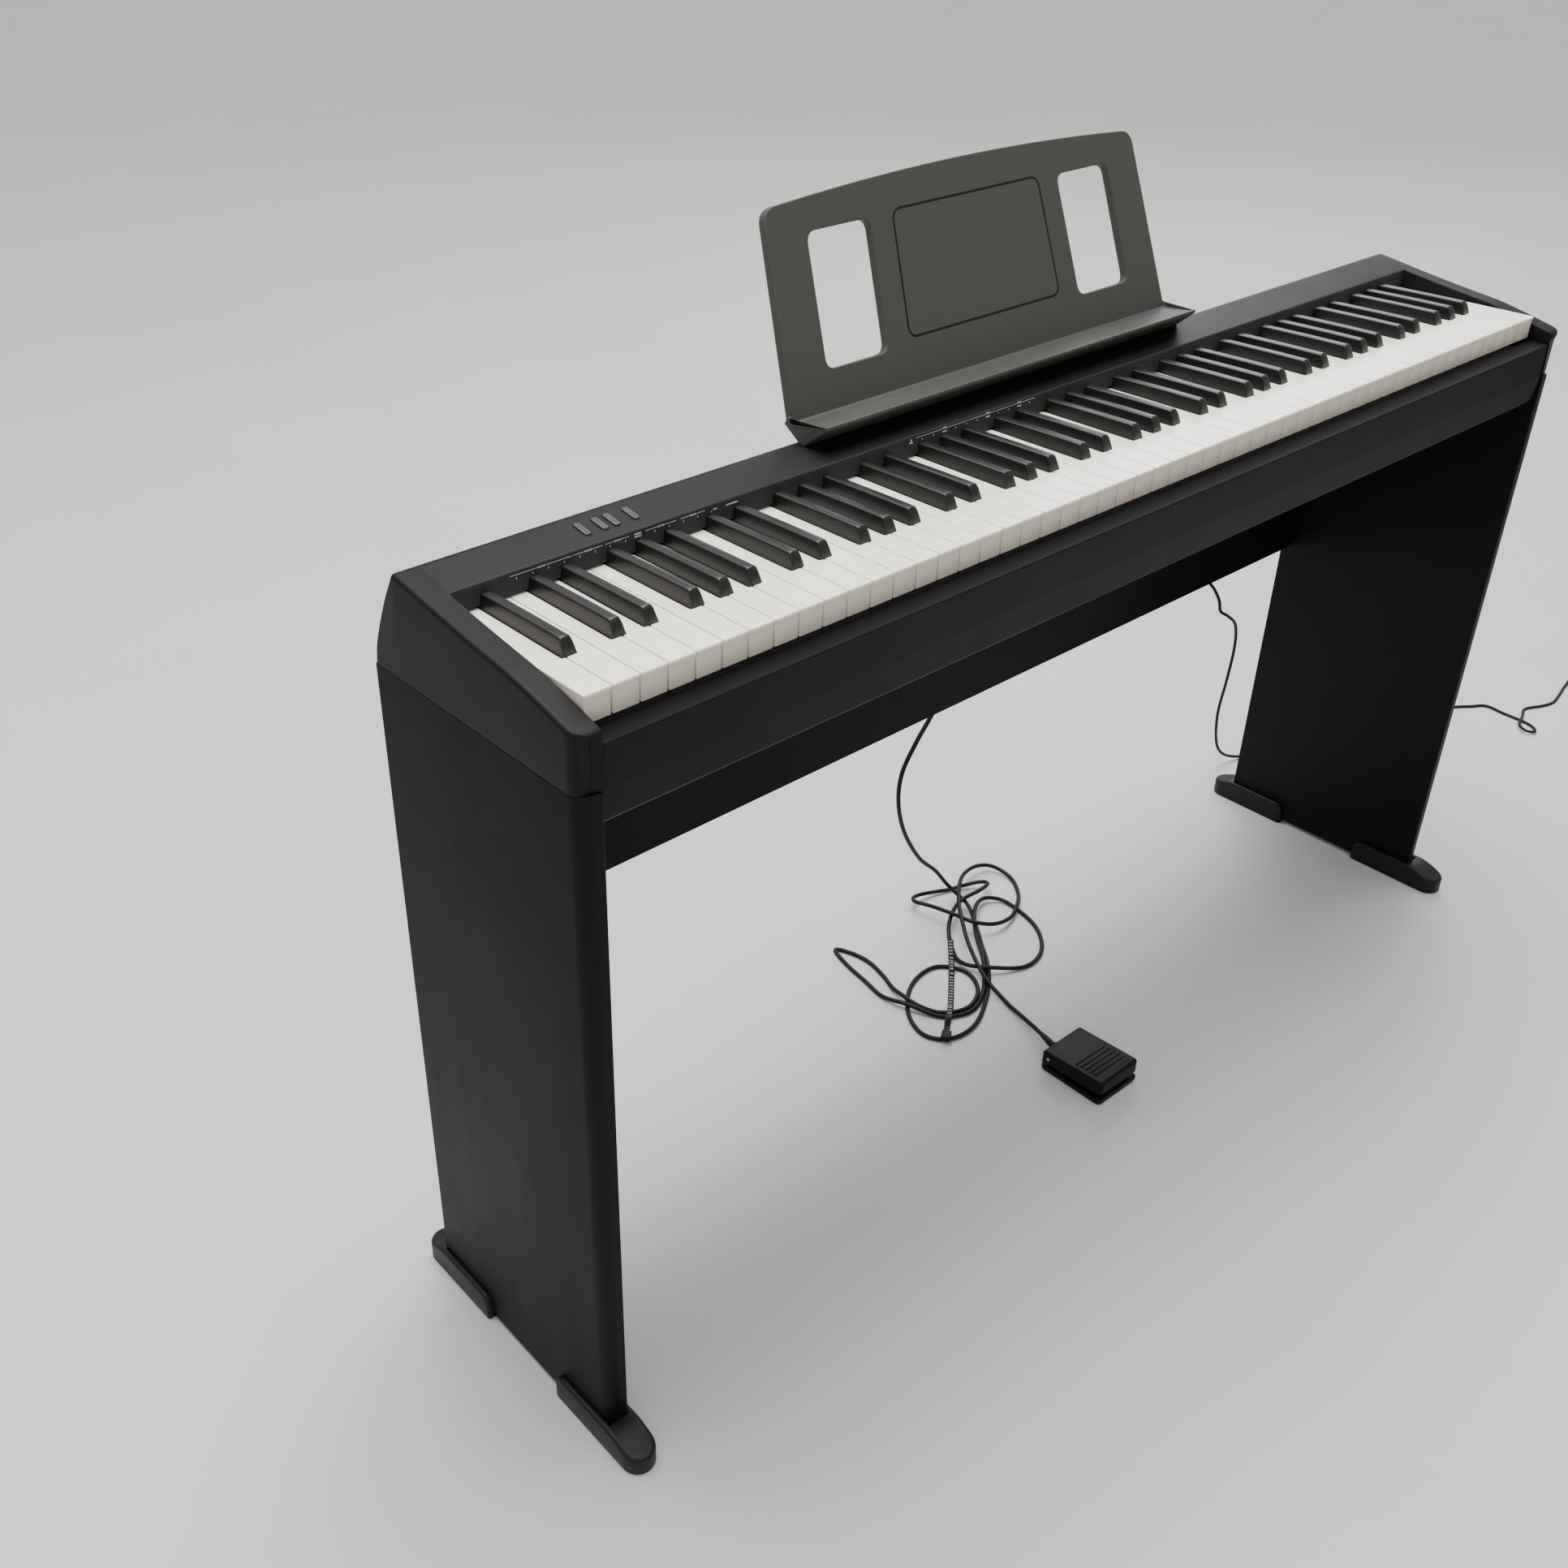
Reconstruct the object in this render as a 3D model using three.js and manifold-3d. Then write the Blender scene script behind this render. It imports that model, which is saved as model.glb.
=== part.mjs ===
// A compact 88-key digital piano on a fixed board stand, with a lift-off music rest, a foot switch and its leads.
// Millimetres, +Z up, the player sits at -Y, bass keys at -X. The origin is on the floor under the middle.
import * as THREE from "three";
import { mergeVertices } from "three/addons/utils/BufferGeometryUtils.js";
import Module from "manifold-3d";

const wasm = await Module();
wasm.setup();

// ---------- driving sizes ----------
const FIT = 0.5; // clearance between neighbours that meet
const TOUCH = 0.3; // clearance between faces that rest on each other

const KEY_TOP = 703; // playing surface above the floor
const KEY_FRONT = -100.6; // y of the white keys' front faces
const KEY_PITCH = 23.5;
const WHITE_KEYS = 52;
const KEY_GAP = 1.0;
const HEAD_LENGTH = 50; // wide front part of a white key
const CAP_LENGTH = 145; // visible length of a white key
const WHITE_DEPTH = 22.4; // front face height of a white key
const STICK_DEPTH = 18; // height of a key behind its head
const STICK_DROP = 4; // how far the hidden stick lies below the white top
const BLACK_RISE = 12;
const BLACK_BASE = 12.6;
const BLACK_CREST = 10;
const BLACK_SLOPE = 5; // how far a black key's front leans back
const PIVOT_Y = 196; // key pivot, measured back from the key fronts
const TAIL_END = 201;
const SPINE = 5; // thickness of the bar that joins the keys of a moulded group
const BLACK_END = TAIL_END - SPINE - 1; // the black keys end in front of the white keys' bar

const CHEEK = 21.5; // width of the end block beside the keys
const CHEEK_GAP = 1.5;
const CASE_FRONT = -22.9; // end block front, measured from the key fronts
const CASE_REAR = 227;
const WALL = 3;
const PANEL_FOOT = [147, 1.5]; // lower front edge of the control panel
const PANEL_BREAK = [149, 18]; // where the panel turns from front to top
const PANEL_REAR = [191, 25];
const REAR_BULGE = [219, -15];
const CASE_SEAM = -59; // underside of the end blocks, on the stand's side boards
const CHEEK_NOSE = -14; // top of the end block at its front
const CORNER_RADIUS = 13; // outer front corner of end blocks and side boards

const LEDGE = -25; // top of the ledge in front of the keys
const RAIL_FRONT = -20.3;
const RAIL_BEND = -80; // where the front face turns under
const CASE_FLOOR = -89; // underside of the case between the side boards
const RAIL_UNDER = -12;

const BUTTON = { length: 18, width: 6, rise: 1.6, travel: 1.0, y: 169 };
const BUTTONS = { power_button: -484, volume_down_button: -468, volume_up_button: -457, function_button: -439 };

const REST = { y: 197, z: 38.5, lean: 19.5, half: 248, top_half: 234, height: 167, crown: 9, thick: 8, radius: 14 };
const REST_WINDOW = { inner: 127, outer: 199, low: 33, high: 143, taper: 6.5, radius: 10 };
const REST_KEEL = { lip_y: 159.6, lip_z: 43.4, lip_half: 245.3, foot_front: 180.8, foot_rear: 187, foot_half: 250 };
const REST_TAB = { x: 150, width: 40, thick: 4, foot: 14, shoulder: 60, y: 183 };

const BOARD = 19.5; // stand board thickness
const BACK = { thick: 12, low: 373, high: 600 };
const FOOT = { width: 31, wall: 27, tip: 19, sole: 4.2, front: -62, front_end: 48, rear: 256, rear_end: 150 };

const PEDAL = { x: 35, y: -92.5, width: 64, length: 79, base: 7, skirt: 13.5, sole: 2, rise: 29 };

// ---------- sizes that follow ----------
const KEYBOARD = WHITE_KEYS * KEY_PITCH;
const CHEEK_INNER = KEYBOARD / 2 + CHEEK_GAP;
const CASE_HALF = CHEEK_INNER + CHEEK;
const BOARD_INNER = CASE_HALF - BOARD;
const RAIL_HALF = CHEEK_INNER - FIT;

// ---------- colours ----------
const finish = (color, roughness, metalness = 0) => new THREE.MeshStandardMaterial({ color, roughness, metalness });
const CASE_BLACK = finish(0x1c1c1f, 0.5);
const KEY_WHITE = finish(0xe9e4da, 0.3);
const KEY_BLACK = finish(0x141414, 0.45);
const STAND_BLACK = finish(0x202123, 0.6);
const FOOT_BLACK = finish(0x242528, 0.5);
const BUTTON_GREY = finish(0x2b2b2e, 0.45);
const BOARD_GREEN = finish(0x1f5a3a, 0.6);
const STEEL = finish(0xa8aaad, 0.35, 1);
const FRAME_GREY = finish(0x55585c, 0.6);
const FELT_RED = finish(0x7a1f22, 0.95);
const CONE_BLACK = finish(0x18181a, 0.8);
const RUBBER = finish(0x171717, 0.85);
const CORD_BLACK = finish(0x121212, 0.6);
const SOCKET_BLACK = finish(0x0f0f10, 0.5);

// ---------- helpers ----------
// A solid from a three.js geometry, with shared vertices merged.
function solid(geometry) {
  const g = geometry.clone();
  g.deleteAttribute("normal");
  g.deleteAttribute("uv");
  const merged = mergeVertices(g, 1e-4);
  return new wasm.Manifold(
    new wasm.Mesh({
      numProp: 3,
      vertProperties: new Float32Array(merged.attributes.position.array),
      triVerts: new Uint32Array(merged.index.array),
    }),
  );
}

// A three.js geometry from a solid.
function geometryOf(body) {
  const m = body.getMesh();
  const g = new THREE.BufferGeometry();
  g.setAttribute("position", new THREE.BufferAttribute(new Float32Array(m.vertProperties), 3));
  g.setIndex(new THREE.BufferAttribute(new Uint32Array(m.triVerts), 1));
  g.computeVertexNormals();
  return g;
}

// One named sub-part in a group.
function part(group, name, shape, material) {
  const mesh = new THREE.Mesh(shape.isBufferGeometry ? shape : geometryOf(shape), material);
  mesh.name = name;
  group.add(mesh);
  return mesh;
}

function outline(points) {
  return new THREE.Shape(points.map(([a, b]) => new THREE.Vector2(a, b)));
}

// A side profile in (y, z), carried along X from x0 to x1.
function across(shape, x0, x1, curveSegments = 8) {
  const g = new THREE.ExtrudeGeometry(shape, { depth: x1 - x0, bevelEnabled: false, curveSegments });
  g.applyMatrix4(
    new THREE.Matrix4().makeBasis(
      new THREE.Vector3(0, 1, 0),
      new THREE.Vector3(0, 0, 1),
      new THREE.Vector3(1, 0, 0),
    ),
  );
  return solid(g.translate(x0, 0, 0));
}

// A plan in (x, y), carried up from z0 to z1.
function upright(shape, z0, z1, curveSegments = 6) {
  const g = new THREE.ExtrudeGeometry(shape, { depth: z1 - z0, bevelEnabled: false, curveSegments });
  return solid(g.translate(0, 0, z0));
}

function box(x0, x1, y0, y1, z0, z1) {
  const g = new THREE.BoxGeometry(x1 - x0, y1 - y0, z1 - z0);
  return solid(g.translate((x0 + x1) / 2, (y0 + y1) / 2, (z0 + z1) / 2));
}

// An upright round bar.
function post(x, y, z0, z1, radius, sides = 12) {
  const g = new THREE.CylinderGeometry(radius, radius, z1 - z0, sides);
  g.rotateX(Math.PI / 2);
  return solid(g.translate(x, y, (z0 + z1) / 2));
}

// A round bar that lies along Y.
function pin(x, z, y0, y1, radius, sides = 12) {
  const g = new THREE.CylinderGeometry(radius, radius, y1 - y0, sides);
  return solid(g.translate(x, (y0 + y1) / 2, z));
}

// A rectangle with rounded corners.
function rounded(x0, x1, y0, y1, r) {
  const s = new THREE.Shape();
  s.moveTo(x0 + r, y0);
  s.lineTo(x1 - r, y0);
  s.absarc(x1 - r, y0 + r, r, -Math.PI / 2, 0);
  s.lineTo(x1, y1 - r);
  s.absarc(x1 - r, y1 - r, r, 0, Math.PI / 2);
  s.lineTo(x0 + r, y1);
  s.absarc(x0 + r, y1 - r, r, Math.PI / 2, Math.PI);
  s.lineTo(x0, y0 + r);
  s.absarc(x0 + r, y0 + r, r, Math.PI, 1.5 * Math.PI);
  return s;
}

const joined = (bodies) => bodies.reduce((all, one) => all.add(one));
const without = (body, cuts) => cuts.reduce((left, cut) => left.subtract(cut), body);

// ---------- the piano's case: local frame x, y back from the key fronts, z up from the key tops ----------

// The height of the panel's top face at a distance back from the keys.
function panelTop(y) {
  const slope = (PANEL_REAR[1] - PANEL_BREAK[1]) / (PANEL_REAR[0] - PANEL_BREAK[0]);
  return PANEL_BREAK[1] + (y - PANEL_BREAK[0]) * slope;
}

// The cover over the key tails: a bent wall, open below and at the front.
function panelShell() {
  const s = new THREE.Shape();
  s.moveTo(...PANEL_FOOT);
  s.lineTo(PANEL_FOOT[0] + WALL, PANEL_FOOT[1]);
  s.lineTo(PANEL_BREAK[0] + WALL, PANEL_BREAK[1] - WALL);
  s.lineTo(PANEL_REAR[0] - WALL / 2, PANEL_REAR[1] - WALL);
  s.quadraticCurveTo(REAR_BULGE[0] - WALL, REAR_BULGE[1], CASE_REAR - WALL, CASE_SEAM);
  s.lineTo(CASE_REAR, CASE_SEAM);
  s.quadraticCurveTo(REAR_BULGE[0], REAR_BULGE[1], ...PANEL_REAR);
  s.lineTo(...PANEL_BREAK);
  s.closePath();
  return across(s, -CHEEK_INNER - FIT, CHEEK_INNER + FIT);
}

// The end block beside the keys, with a sloping top and a rounded outer front corner.
function endBlock(side) {
  const s = new THREE.Shape();
  s.moveTo(CASE_FRONT, CASE_SEAM);
  s.lineTo(CASE_REAR, CASE_SEAM);
  s.quadraticCurveTo(REAR_BULGE[0], REAR_BULGE[1], ...PANEL_REAR);
  s.lineTo(...PANEL_BREAK);
  s.quadraticCurveTo(40, 3, CASE_FRONT + 3, CHEEK_NOSE + 2);
  s.lineTo(CASE_FRONT, CHEEK_NOSE - 1);
  s.closePath();
  return across(s, -CASE_HALF, CASE_HALF).intersect(upright(sidePlan(side, CHEEK_INNER), CASE_SEAM - 1, PANEL_REAR[1] + 1));
}

// The plan of an end block or a side board, from its inner face out, with the outer front corner rounded.
function sidePlan(side, inner) {
  const s = new THREE.Shape();
  const corner = side * (CASE_HALF - CORNER_RADIUS);
  s.moveTo(side * inner, CASE_REAR);
  s.lineTo(side * CASE_HALF, CASE_REAR);
  s.lineTo(side * CASE_HALF, CASE_FRONT + CORNER_RADIUS);
  if (side > 0) s.absarc(corner, CASE_FRONT + CORNER_RADIUS, CORNER_RADIUS, 0, -Math.PI / 2, true);
  else s.absarc(corner, CASE_FRONT + CORNER_RADIUS, CORNER_RADIUS, Math.PI, 1.5 * Math.PI, false);
  s.lineTo(side * inner, CASE_FRONT);
  s.closePath();
  return s;
}

// A button's outline on the panel, a little larger for the hole it moves in.
function buttonPlan(x, spare) {
  const w = BUTTON.width / 2 + spare;
  const l = BUTTON.length / 2 + spare;
  return rounded(x - w, x + w, BUTTON.y - l, BUTTON.y + l, w - 0.2);
}

function upperCase(group) {
  const shell = joined([panelShell(), endBlock(-1), endBlock(1)]);
  const holes = Object.values(BUTTONS).map((x) => upright(buttonPlan(x, 0.4), 0, PANEL_REAR[1] + 5));
  const slots = [-1, 1].map((side) => {
    const half = REST_TAB.width / 2 + FIT;
    const x = side * REST_TAB.x;
    return box(x - half, x + half, REST_TAB.y - REST_TAB.thick / 2 - FIT, REST_TAB.y + REST_TAB.thick / 2 + FIT, 5, 30);
  });
  const bosses = [-510, -412].map((x) => post(x, BUTTON.y, BUTTON_BOARD.top + TOUCH, panelTop(BUTTON.y) - 1, 3, 8));
  part(group, "upper_case", without(shell, [...holes, ...slots]).add(joined(bosses)), CASE_BLACK);
}

// The piece in front of the keys: a ledge, a tall front face and a strip that turns under.
function frontRail(group) {
  const s = outline([
    [-FIT - 1, LEDGE],
    [RAIL_FRONT, LEDGE],
    [RAIL_FRONT, RAIL_BEND],
    [RAIL_UNDER, CASE_FLOOR],
    [RAIL_UNDER + WALL, CASE_FLOOR],
    [RAIL_UNDER + WALL, CASE_FLOOR + WALL],
    [RAIL_FRONT + WALL, RAIL_BEND + 1],
    [RAIL_FRONT + WALL, LEDGE - WALL],
    [-FIT - 1, LEDGE - WALL],
  ]);
  part(group, "front_rail", across(s, -RAIL_HALF, RAIL_HALF), CASE_BLACK);
}

const SPEAKER = { x: 455, y: 95, half_width: 62, half_depth: 34, rise: 32 };
const MAIN_BOARD = { x0: -120, x1: 150, y0: 130, y1: 192, low: -63, thick: 1.6 };
const BUTTON_BOARD = { x0: -520, x1: -402, y0: 156, y1: 182, top: 9, thick: 1.6 };
const REAR_JACKS = { dc_socket: 440, pedal_socket: 92, usb_socket: -70, phones_socket: -150 };
const JACK_Z = -74;

function lowerCase(group) {
  const half = BOARD_INNER - 2.5;
  const front = RAIL_UNDER + WALL + FIT;
  const rear = CASE_REAR - 2;
  const rim = CASE_SEAM - FIT;
  const tray = box(-half, half, front, rear, CASE_FLOOR, rim).subtract(
    box(-half + WALL, half - WALL, front + WALL, rear - WALL, CASE_FLOOR + WALL, rim + 1),
  );
  const grilles = [-1, 1].flatMap((side) =>
    [-40, -24, -8, 8, 24, 40].map((dx) => {
      const x = side * SPEAKER.x + dx;
      return box(x - 3, x + 3, SPEAKER.y - 22, SPEAKER.y + 22, CASE_FLOOR - 1, CASE_FLOOR + WALL + 1);
    }),
  );
  const jacks = Object.values(REAR_JACKS).map((x) => box(x - 9, x + 9, rear - WALL - 1, rear + 1, JACK_Z - 7, JACK_Z + 7));
  const bosses = [MAIN_BOARD.x0 + 8, MAIN_BOARD.x1 - 8].flatMap((x) =>
    [MAIN_BOARD.y0 + 8, MAIN_BOARD.y1 - 8].map((y) => post(x, y, CASE_FLOOR + 1, MAIN_BOARD.low - TOUCH, 3.5, 8)),
  );
  part(group, "lower_case", without(tray, [...grilles, ...jacks]).add(joined(bosses)), CASE_BLACK);
}

// ---------- the action ----------
const CHASSIS = { top: -37, thick: 3, half: KEYBOARD / 2 - 3, front: 4, leg: 6 };

// A folded frame under the keys, with an upright at the rear that the key tails pivot against.
function keyChassis(group) {
  const floor = CASE_FLOOR + WALL + TOUCH;
  const wall = TAIL_END + 1.5;
  const s = outline([
    [CHASSIS.front, floor],
    [CHASSIS.front + CHASSIS.thick, floor],
    [CHASSIS.front + CHASSIS.thick, CHASSIS.top - CHASSIS.thick],
    [wall - CHASSIS.thick, CHASSIS.top - CHASSIS.thick],
    [wall - CHASSIS.thick, floor],
    [wall + CHASSIS.thick, floor],
    [wall + CHASSIS.thick, -9],
    [wall, -9],
    [wall, CHASSIS.top],
    [CHASSIS.front, CHASSIS.top],
  ]);
  part(group, "key_chassis", across(s, -CHASSIS.half, CHASSIS.half), FRAME_GREY);
  const felt = box(-CHASSIS.half, CHASSIS.half, 12, 30, CHASSIS.top + TOUCH, CHASSIS.top + 3.5);
  part(group, "key_stop_felt", felt, FELT_RED);
}

// Black keys stand between these white keys, counted from the first C of an octave, at these distances.
const TAIL_C = (3 * KEY_PITCH - 2 * 13.7) / 3;
const TAIL_F = (4 * KEY_PITCH - 3 * 13.7) / 4;
const BLACKS = [
  { after: 0, middle: TAIL_C + 6.85 },
  { after: 1, middle: 2 * TAIL_C + 13.7 + 6.85 },
  { after: 3, middle: 3 * KEY_PITCH + TAIL_F + 6.85 },
  { after: 4, middle: 3 * KEY_PITCH + 2 * TAIL_F + 13.7 + 6.85 },
  { after: 5, middle: 3 * KEY_PITCH + 3 * TAIL_F + 2 * 13.7 + 6.85 },
];
const OCTAVE = 7;
const FIRST_NOTE = 5; // the lowest white key is an A, the sixth white of its octave
const whiteX = (i) => i * KEY_PITCH - KEYBOARD / 2;
const octaveX = (i) => whiteX(i) - ((i + FIRST_NOTE) % OCTAVE) * KEY_PITCH;

// The black key to the right of white key i, or nothing.
function blackAfter(i) {
  if (i < 0 || i >= WHITE_KEYS - 1) return null;
  const b = BLACKS.find((one) => one.after === (i + FIRST_NOTE) % OCTAVE);
  return b ? octaveX(i) + b.middle : null;
}

// A white key with the notches that its black neighbours need.
function whiteKey(i) {
  const x0 = whiteX(i) + KEY_GAP / 2;
  const x1 = whiteX(i + 1) - KEY_GAP / 2;
  const side = outline([
    [0, 0],
    [0, -WHITE_DEPTH],
    [HEAD_LENGTH - 6, -WHITE_DEPTH],
    [HEAD_LENGTH, -STICK_DEPTH],
    [TAIL_END, -STICK_DEPTH],
    [TAIL_END, -STICK_DROP],
    [CAP_LENGTH, -STICK_DROP],
    [CAP_LENGTH, 0],
  ]);
  const notches = [
    [blackAfter(i - 1), -1],
    [blackAfter(i), 1],
  ]
    .filter(([x]) => x !== null)
    .map(([x, way]) => {
      const edge = x - way * (BLACK_BASE / 2 + KEY_GAP / 2);
      const far = x + way * KEY_PITCH;
      return box(Math.min(edge, far), Math.max(edge, far), HEAD_LENGTH - 1, TAIL_END + 1, -WHITE_DEPTH - 1, 1);
    });
  return without(across(side, x0, x1), notches);
}

// A black key: a raised cap that narrows upward and leans back in front, on a narrow stick.
function blackKey(x) {
  const b = BLACK_BASE / 2;
  const c = BLACK_CREST / 2;
  const section = outline([
    [-b, -STICK_DEPTH],
    [b, -STICK_DEPTH],
    [b, 1],
    [c, BLACK_RISE],
    [-c, BLACK_RISE],
    [-b, 1],
  ]);
  const g = new THREE.ExtrudeGeometry(section, { depth: BLACK_END - HEAD_LENGTH, bevelEnabled: false });
  g.rotateX(Math.PI / 2).translate(x, BLACK_END, 0);
  const side = outline([
    [HEAD_LENGTH, -STICK_DEPTH],
    [BLACK_END + 1, -STICK_DEPTH],
    [BLACK_END + 1, -STICK_DROP],
    [CAP_LENGTH, -STICK_DROP],
    [CAP_LENGTH, BLACK_RISE],
    [HEAD_LENGTH + BLACK_SLOPE, BLACK_RISE],
    [HEAD_LENGTH, 1],
  ]);
  return solid(g).intersect(across(side, x - b - 1, x + b + 1));
}

// The keys of a moulded group, with the bar that joins their tails.
function whiteGroup(from, to) {
  const keys = [];
  for (let i = from; i < to; i++) keys.push(whiteKey(i));
  const bar = box(whiteX(from) + KEY_GAP, whiteX(to) - KEY_GAP, TAIL_END - SPINE, TAIL_END, -STICK_DEPTH, -STICK_DEPTH + SPINE);
  return joined([...keys, bar]);
}

function blackGroup(from, to) {
  const places = [];
  for (let i = from; i < to; i++) if (blackAfter(i) !== null) places.push(blackAfter(i));
  const low = -STICK_DEPTH - 1.5 - SPINE;
  const bar = box(places[0], places.at(-1), BLACK_END - SPINE, BLACK_END, low, low + SPINE);
  const tabs = places.map((x) => box(x - 4, x + 4, BLACK_END - SPINE, BLACK_END, low, -STICK_DEPTH + 1));
  return joined([...places.map(blackKey), bar, ...tabs]);
}

const NOTES = ["c", "d", "e", "f", "g", "a", "b"];
const FREE_OCTAVE = 23; // index of the white key that starts the octave of single keys
const SECTIONS = [
  ["bass_low", 0, 9],
  ["bass_high", 9, 23],
  ["treble_low", 30, 44],
  ["treble_high", 44, 52],
];

function keyboard(group) {
  for (let n = 0; n < OCTAVE; n++) {
    const i = FREE_OCTAVE + n;
    part(group, "white_key_" + NOTES[n], whiteKey(i), KEY_WHITE);
    if (blackAfter(i) !== null) part(group, "black_key_" + NOTES[n] + "_sharp", blackKey(blackAfter(i)), KEY_BLACK);
  }
  for (const [name, from, to] of SECTIONS) {
    part(group, "white_keys_" + name, whiteGroup(from, to), KEY_WHITE);
    part(group, "black_keys_" + name, blackGroup(from, to), KEY_BLACK);
  }
}

function boards(group) {
  const m = MAIN_BOARD;
  const chips = [
    [-60, -30, 150, 175, 4],
    [5, 25, 146, 160, 3],
    [60, 90, 150, 180, 14],
    [115, 130, 168, 186, 9],
  ].map(([x0, x1, y0, y1, h]) => box(x0, x1, y0, y1, m.low + 1, m.low + m.thick + h));
  part(group, "main_board", joined([box(m.x0, m.x1, m.y0, m.y1, m.low, m.low + m.thick), ...chips]), BOARD_GREEN);

  const b = BUTTON_BOARD;
  const domes = Object.values(BUTTONS).map((x) => post(x, BUTTON.y, b.top - 1, b.top + 2, 2.5, 8));
  const plate = box(b.x0, b.x1, b.y0, b.y1, b.top - b.thick, b.top);
  part(group, "button_board", joined([plate, ...domes]), BOARD_GREEN);
}

// A raised bar in the panel, with a wider foot under the panel that keeps it in.
function panelButton(group, name, x) {
  const y0 = BUTTON.y - BUTTON.length / 2;
  const y1 = BUTTON.y + BUTTON.length / 2;
  const foot = BUTTON_BOARD.top + 3.4;
  const top = outline([
    [y0 - 1, foot],
    [y1 + 1, foot],
    [y1 + 1, panelTop(y1 + 1) + BUTTON.rise],
    [y0 - 1, panelTop(y0 - 1) + BUTTON.rise],
  ]);
  const bar = across(top, x - BUTTON.width, x + BUTTON.width).intersect(upright(buttonPlan(x, 0), 0, 40));
  const flange = box(x - 4.4, x + 4.4, y0 - 1.5, y1 + 1.5, foot, foot + 1.6);
  part(group, name, bar.add(flange), BUTTON_GREY);
}

// An oval driver: a rim, a basket that narrows downward, and a magnet.
function speaker(group, name, x) {
  const top = CHASSIS.top - CHASSIS.thick - 4;
  const profile = [
    [0, top - 12],
    [20, top - 10],
    [52, top - 2],
    [52, top],
    [62, top],
    [62, top - 3],
    [52, top - 3.5],
    [30, top - 22],
    [30, top - SPEAKER.rise],
    [0, top - SPEAKER.rise],
  ];
  const g = new THREE.LatheGeometry(
    profile.reverse().map(([r, z]) => new THREE.Vector2(r, z)),
    24,
  );
  g.rotateX(Math.PI / 2).scale(1, SPEAKER.half_depth / SPEAKER.half_width, 1);
  part(group, name, solid(g.translate(x, SPEAKER.y, 0)), CONE_BLACK);
}

// A socket set into the rear wall, open toward the rear.
function rearSocket(group, name, x, bore) {
  const rear = CASE_REAR - 2;
  const body = box(x - 8, x + 8, rear - 18, rear, JACK_Z - 6, JACK_Z + 6);
  part(group, name, body.subtract(pin(x, JACK_Z, rear - 14, rear + 1, bore)), SOCKET_BLACK);
}

// ---------- the music rest ----------
function restPlate(x0, x1, low, high, taper, r, crown = 0) {
  const s = new THREE.Shape();
  s.moveTo(x0, low);
  s.lineTo(x1, low);
  s.lineTo(x1 - taper * Math.sign(x1), high - r);
  s.quadraticCurveTo(x1 - taper * Math.sign(x1), high, x1 - taper * Math.sign(x1) - r, high);
  if (crown) s.quadraticCurveTo((x0 + x1) / 2, high + 2 * crown, x0 - taper * Math.sign(x0) + r, high);
  else s.lineTo(x0 - taper * Math.sign(x0) + r, high);
  s.quadraticCurveTo(x0 - taper * Math.sign(x0), high, x0 - taper * Math.sign(x0), high - r);
  s.closePath();
  return s;
}

function slab(shape, front, back, segments) {
  return upright(shape, -back, -front, segments);
}

// A window in the rest, narrower at the top.
function restWindow(side) {
  const w = REST_WINDOW;
  const corners = [
    [w.inner, w.low],
    [w.outer, w.low],
    [w.outer - w.taper, w.high],
    [w.inner - w.taper, w.high],
  ].map(([x, y]) => new THREE.Vector2(side * x, y));
  const s = new THREE.Shape();
  corners.forEach((c, i) => {
    const before = corners[(i + 3) % 4];
    const after = corners[(i + 1) % 4];
    const a = c.clone().add(before.clone().sub(c).setLength(w.radius));
    const b = c.clone().add(after.clone().sub(c).setLength(w.radius));
    if (i === 0) s.moveTo(a.x, a.y);
    else s.lineTo(a.x, a.y);
    s.quadraticCurveTo(c.x, c.y, b.x, b.y);
  });
  return slab(s, -5, REST.thick + 5, 5);
}

function musicRest(group) {
  const r = REST;
  const plate = slab(restPlate(-r.half, r.half, -2, r.height, r.half - r.top_half, r.radius, r.crown), 0, r.thick, 8);
  const tilt = (body) => body.rotate([90 - r.lean, 0, 0]).translate([0, r.y, r.z]);
  const leaf = tilt(without(plate, [restWindow(-1), restWindow(1)]));

  // The ledge is a keel: a shelf that rises to its lip, and a face that runs back under it to the panel.
  const t = REST_KEEL;
  const keel = outline([
    [t.lip_y, t.lip_z - 2.6],
    [t.lip_y, t.lip_z],
    [t.lip_y + 2.4, t.lip_z],
    [t.lip_y + 3, t.lip_z - 1.5],
    [r.y, r.z - 0.9],
    [r.y + 7.4, r.z - 2.1],
    [t.foot_rear, panelTop(t.foot_rear) + TOUCH],
    [t.foot_front, panelTop(t.foot_front) + TOUCH],
  ]);
  const plan = outline([
    [-t.lip_half, t.lip_y - 1],
    [t.lip_half, t.lip_y - 1],
    [t.foot_half, t.foot_front],
    [t.foot_half, r.y + 20],
    [-t.foot_half, r.y + 20],
    [-t.foot_half, t.foot_front],
  ]);
  const ledge = across(turned(keel), -t.foot_half, t.foot_half).intersect(upright(plan, 0, 80));
  const tabs = [-1, 1].map((side) => {
    const x = side * REST_TAB.x;
    const y = REST_TAB.y;
    const half = REST_TAB.thick / 2;
    const deck = panelTop(y + half) + TOUCH;
    return box(x - REST_TAB.width / 2, x + REST_TAB.width / 2, y - half, y + half, deck - REST_TAB.foot, deck + 1);
  });
  part(group, "music_rest", joined([leaf, ledge, ...tabs]), FRAME_GREY);
}

// ---------- the stand: heights above the floor ----------
const SEAM = KEY_TOP + CASE_SEAM;

function sideBoard(group, name, side) {
  const body = upright(sidePlan(side, BOARD_INNER), FOOT.sole + TOUCH, SEAM - TOUCH);
  part(group, name, body, STAND_BLACK);
}

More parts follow.
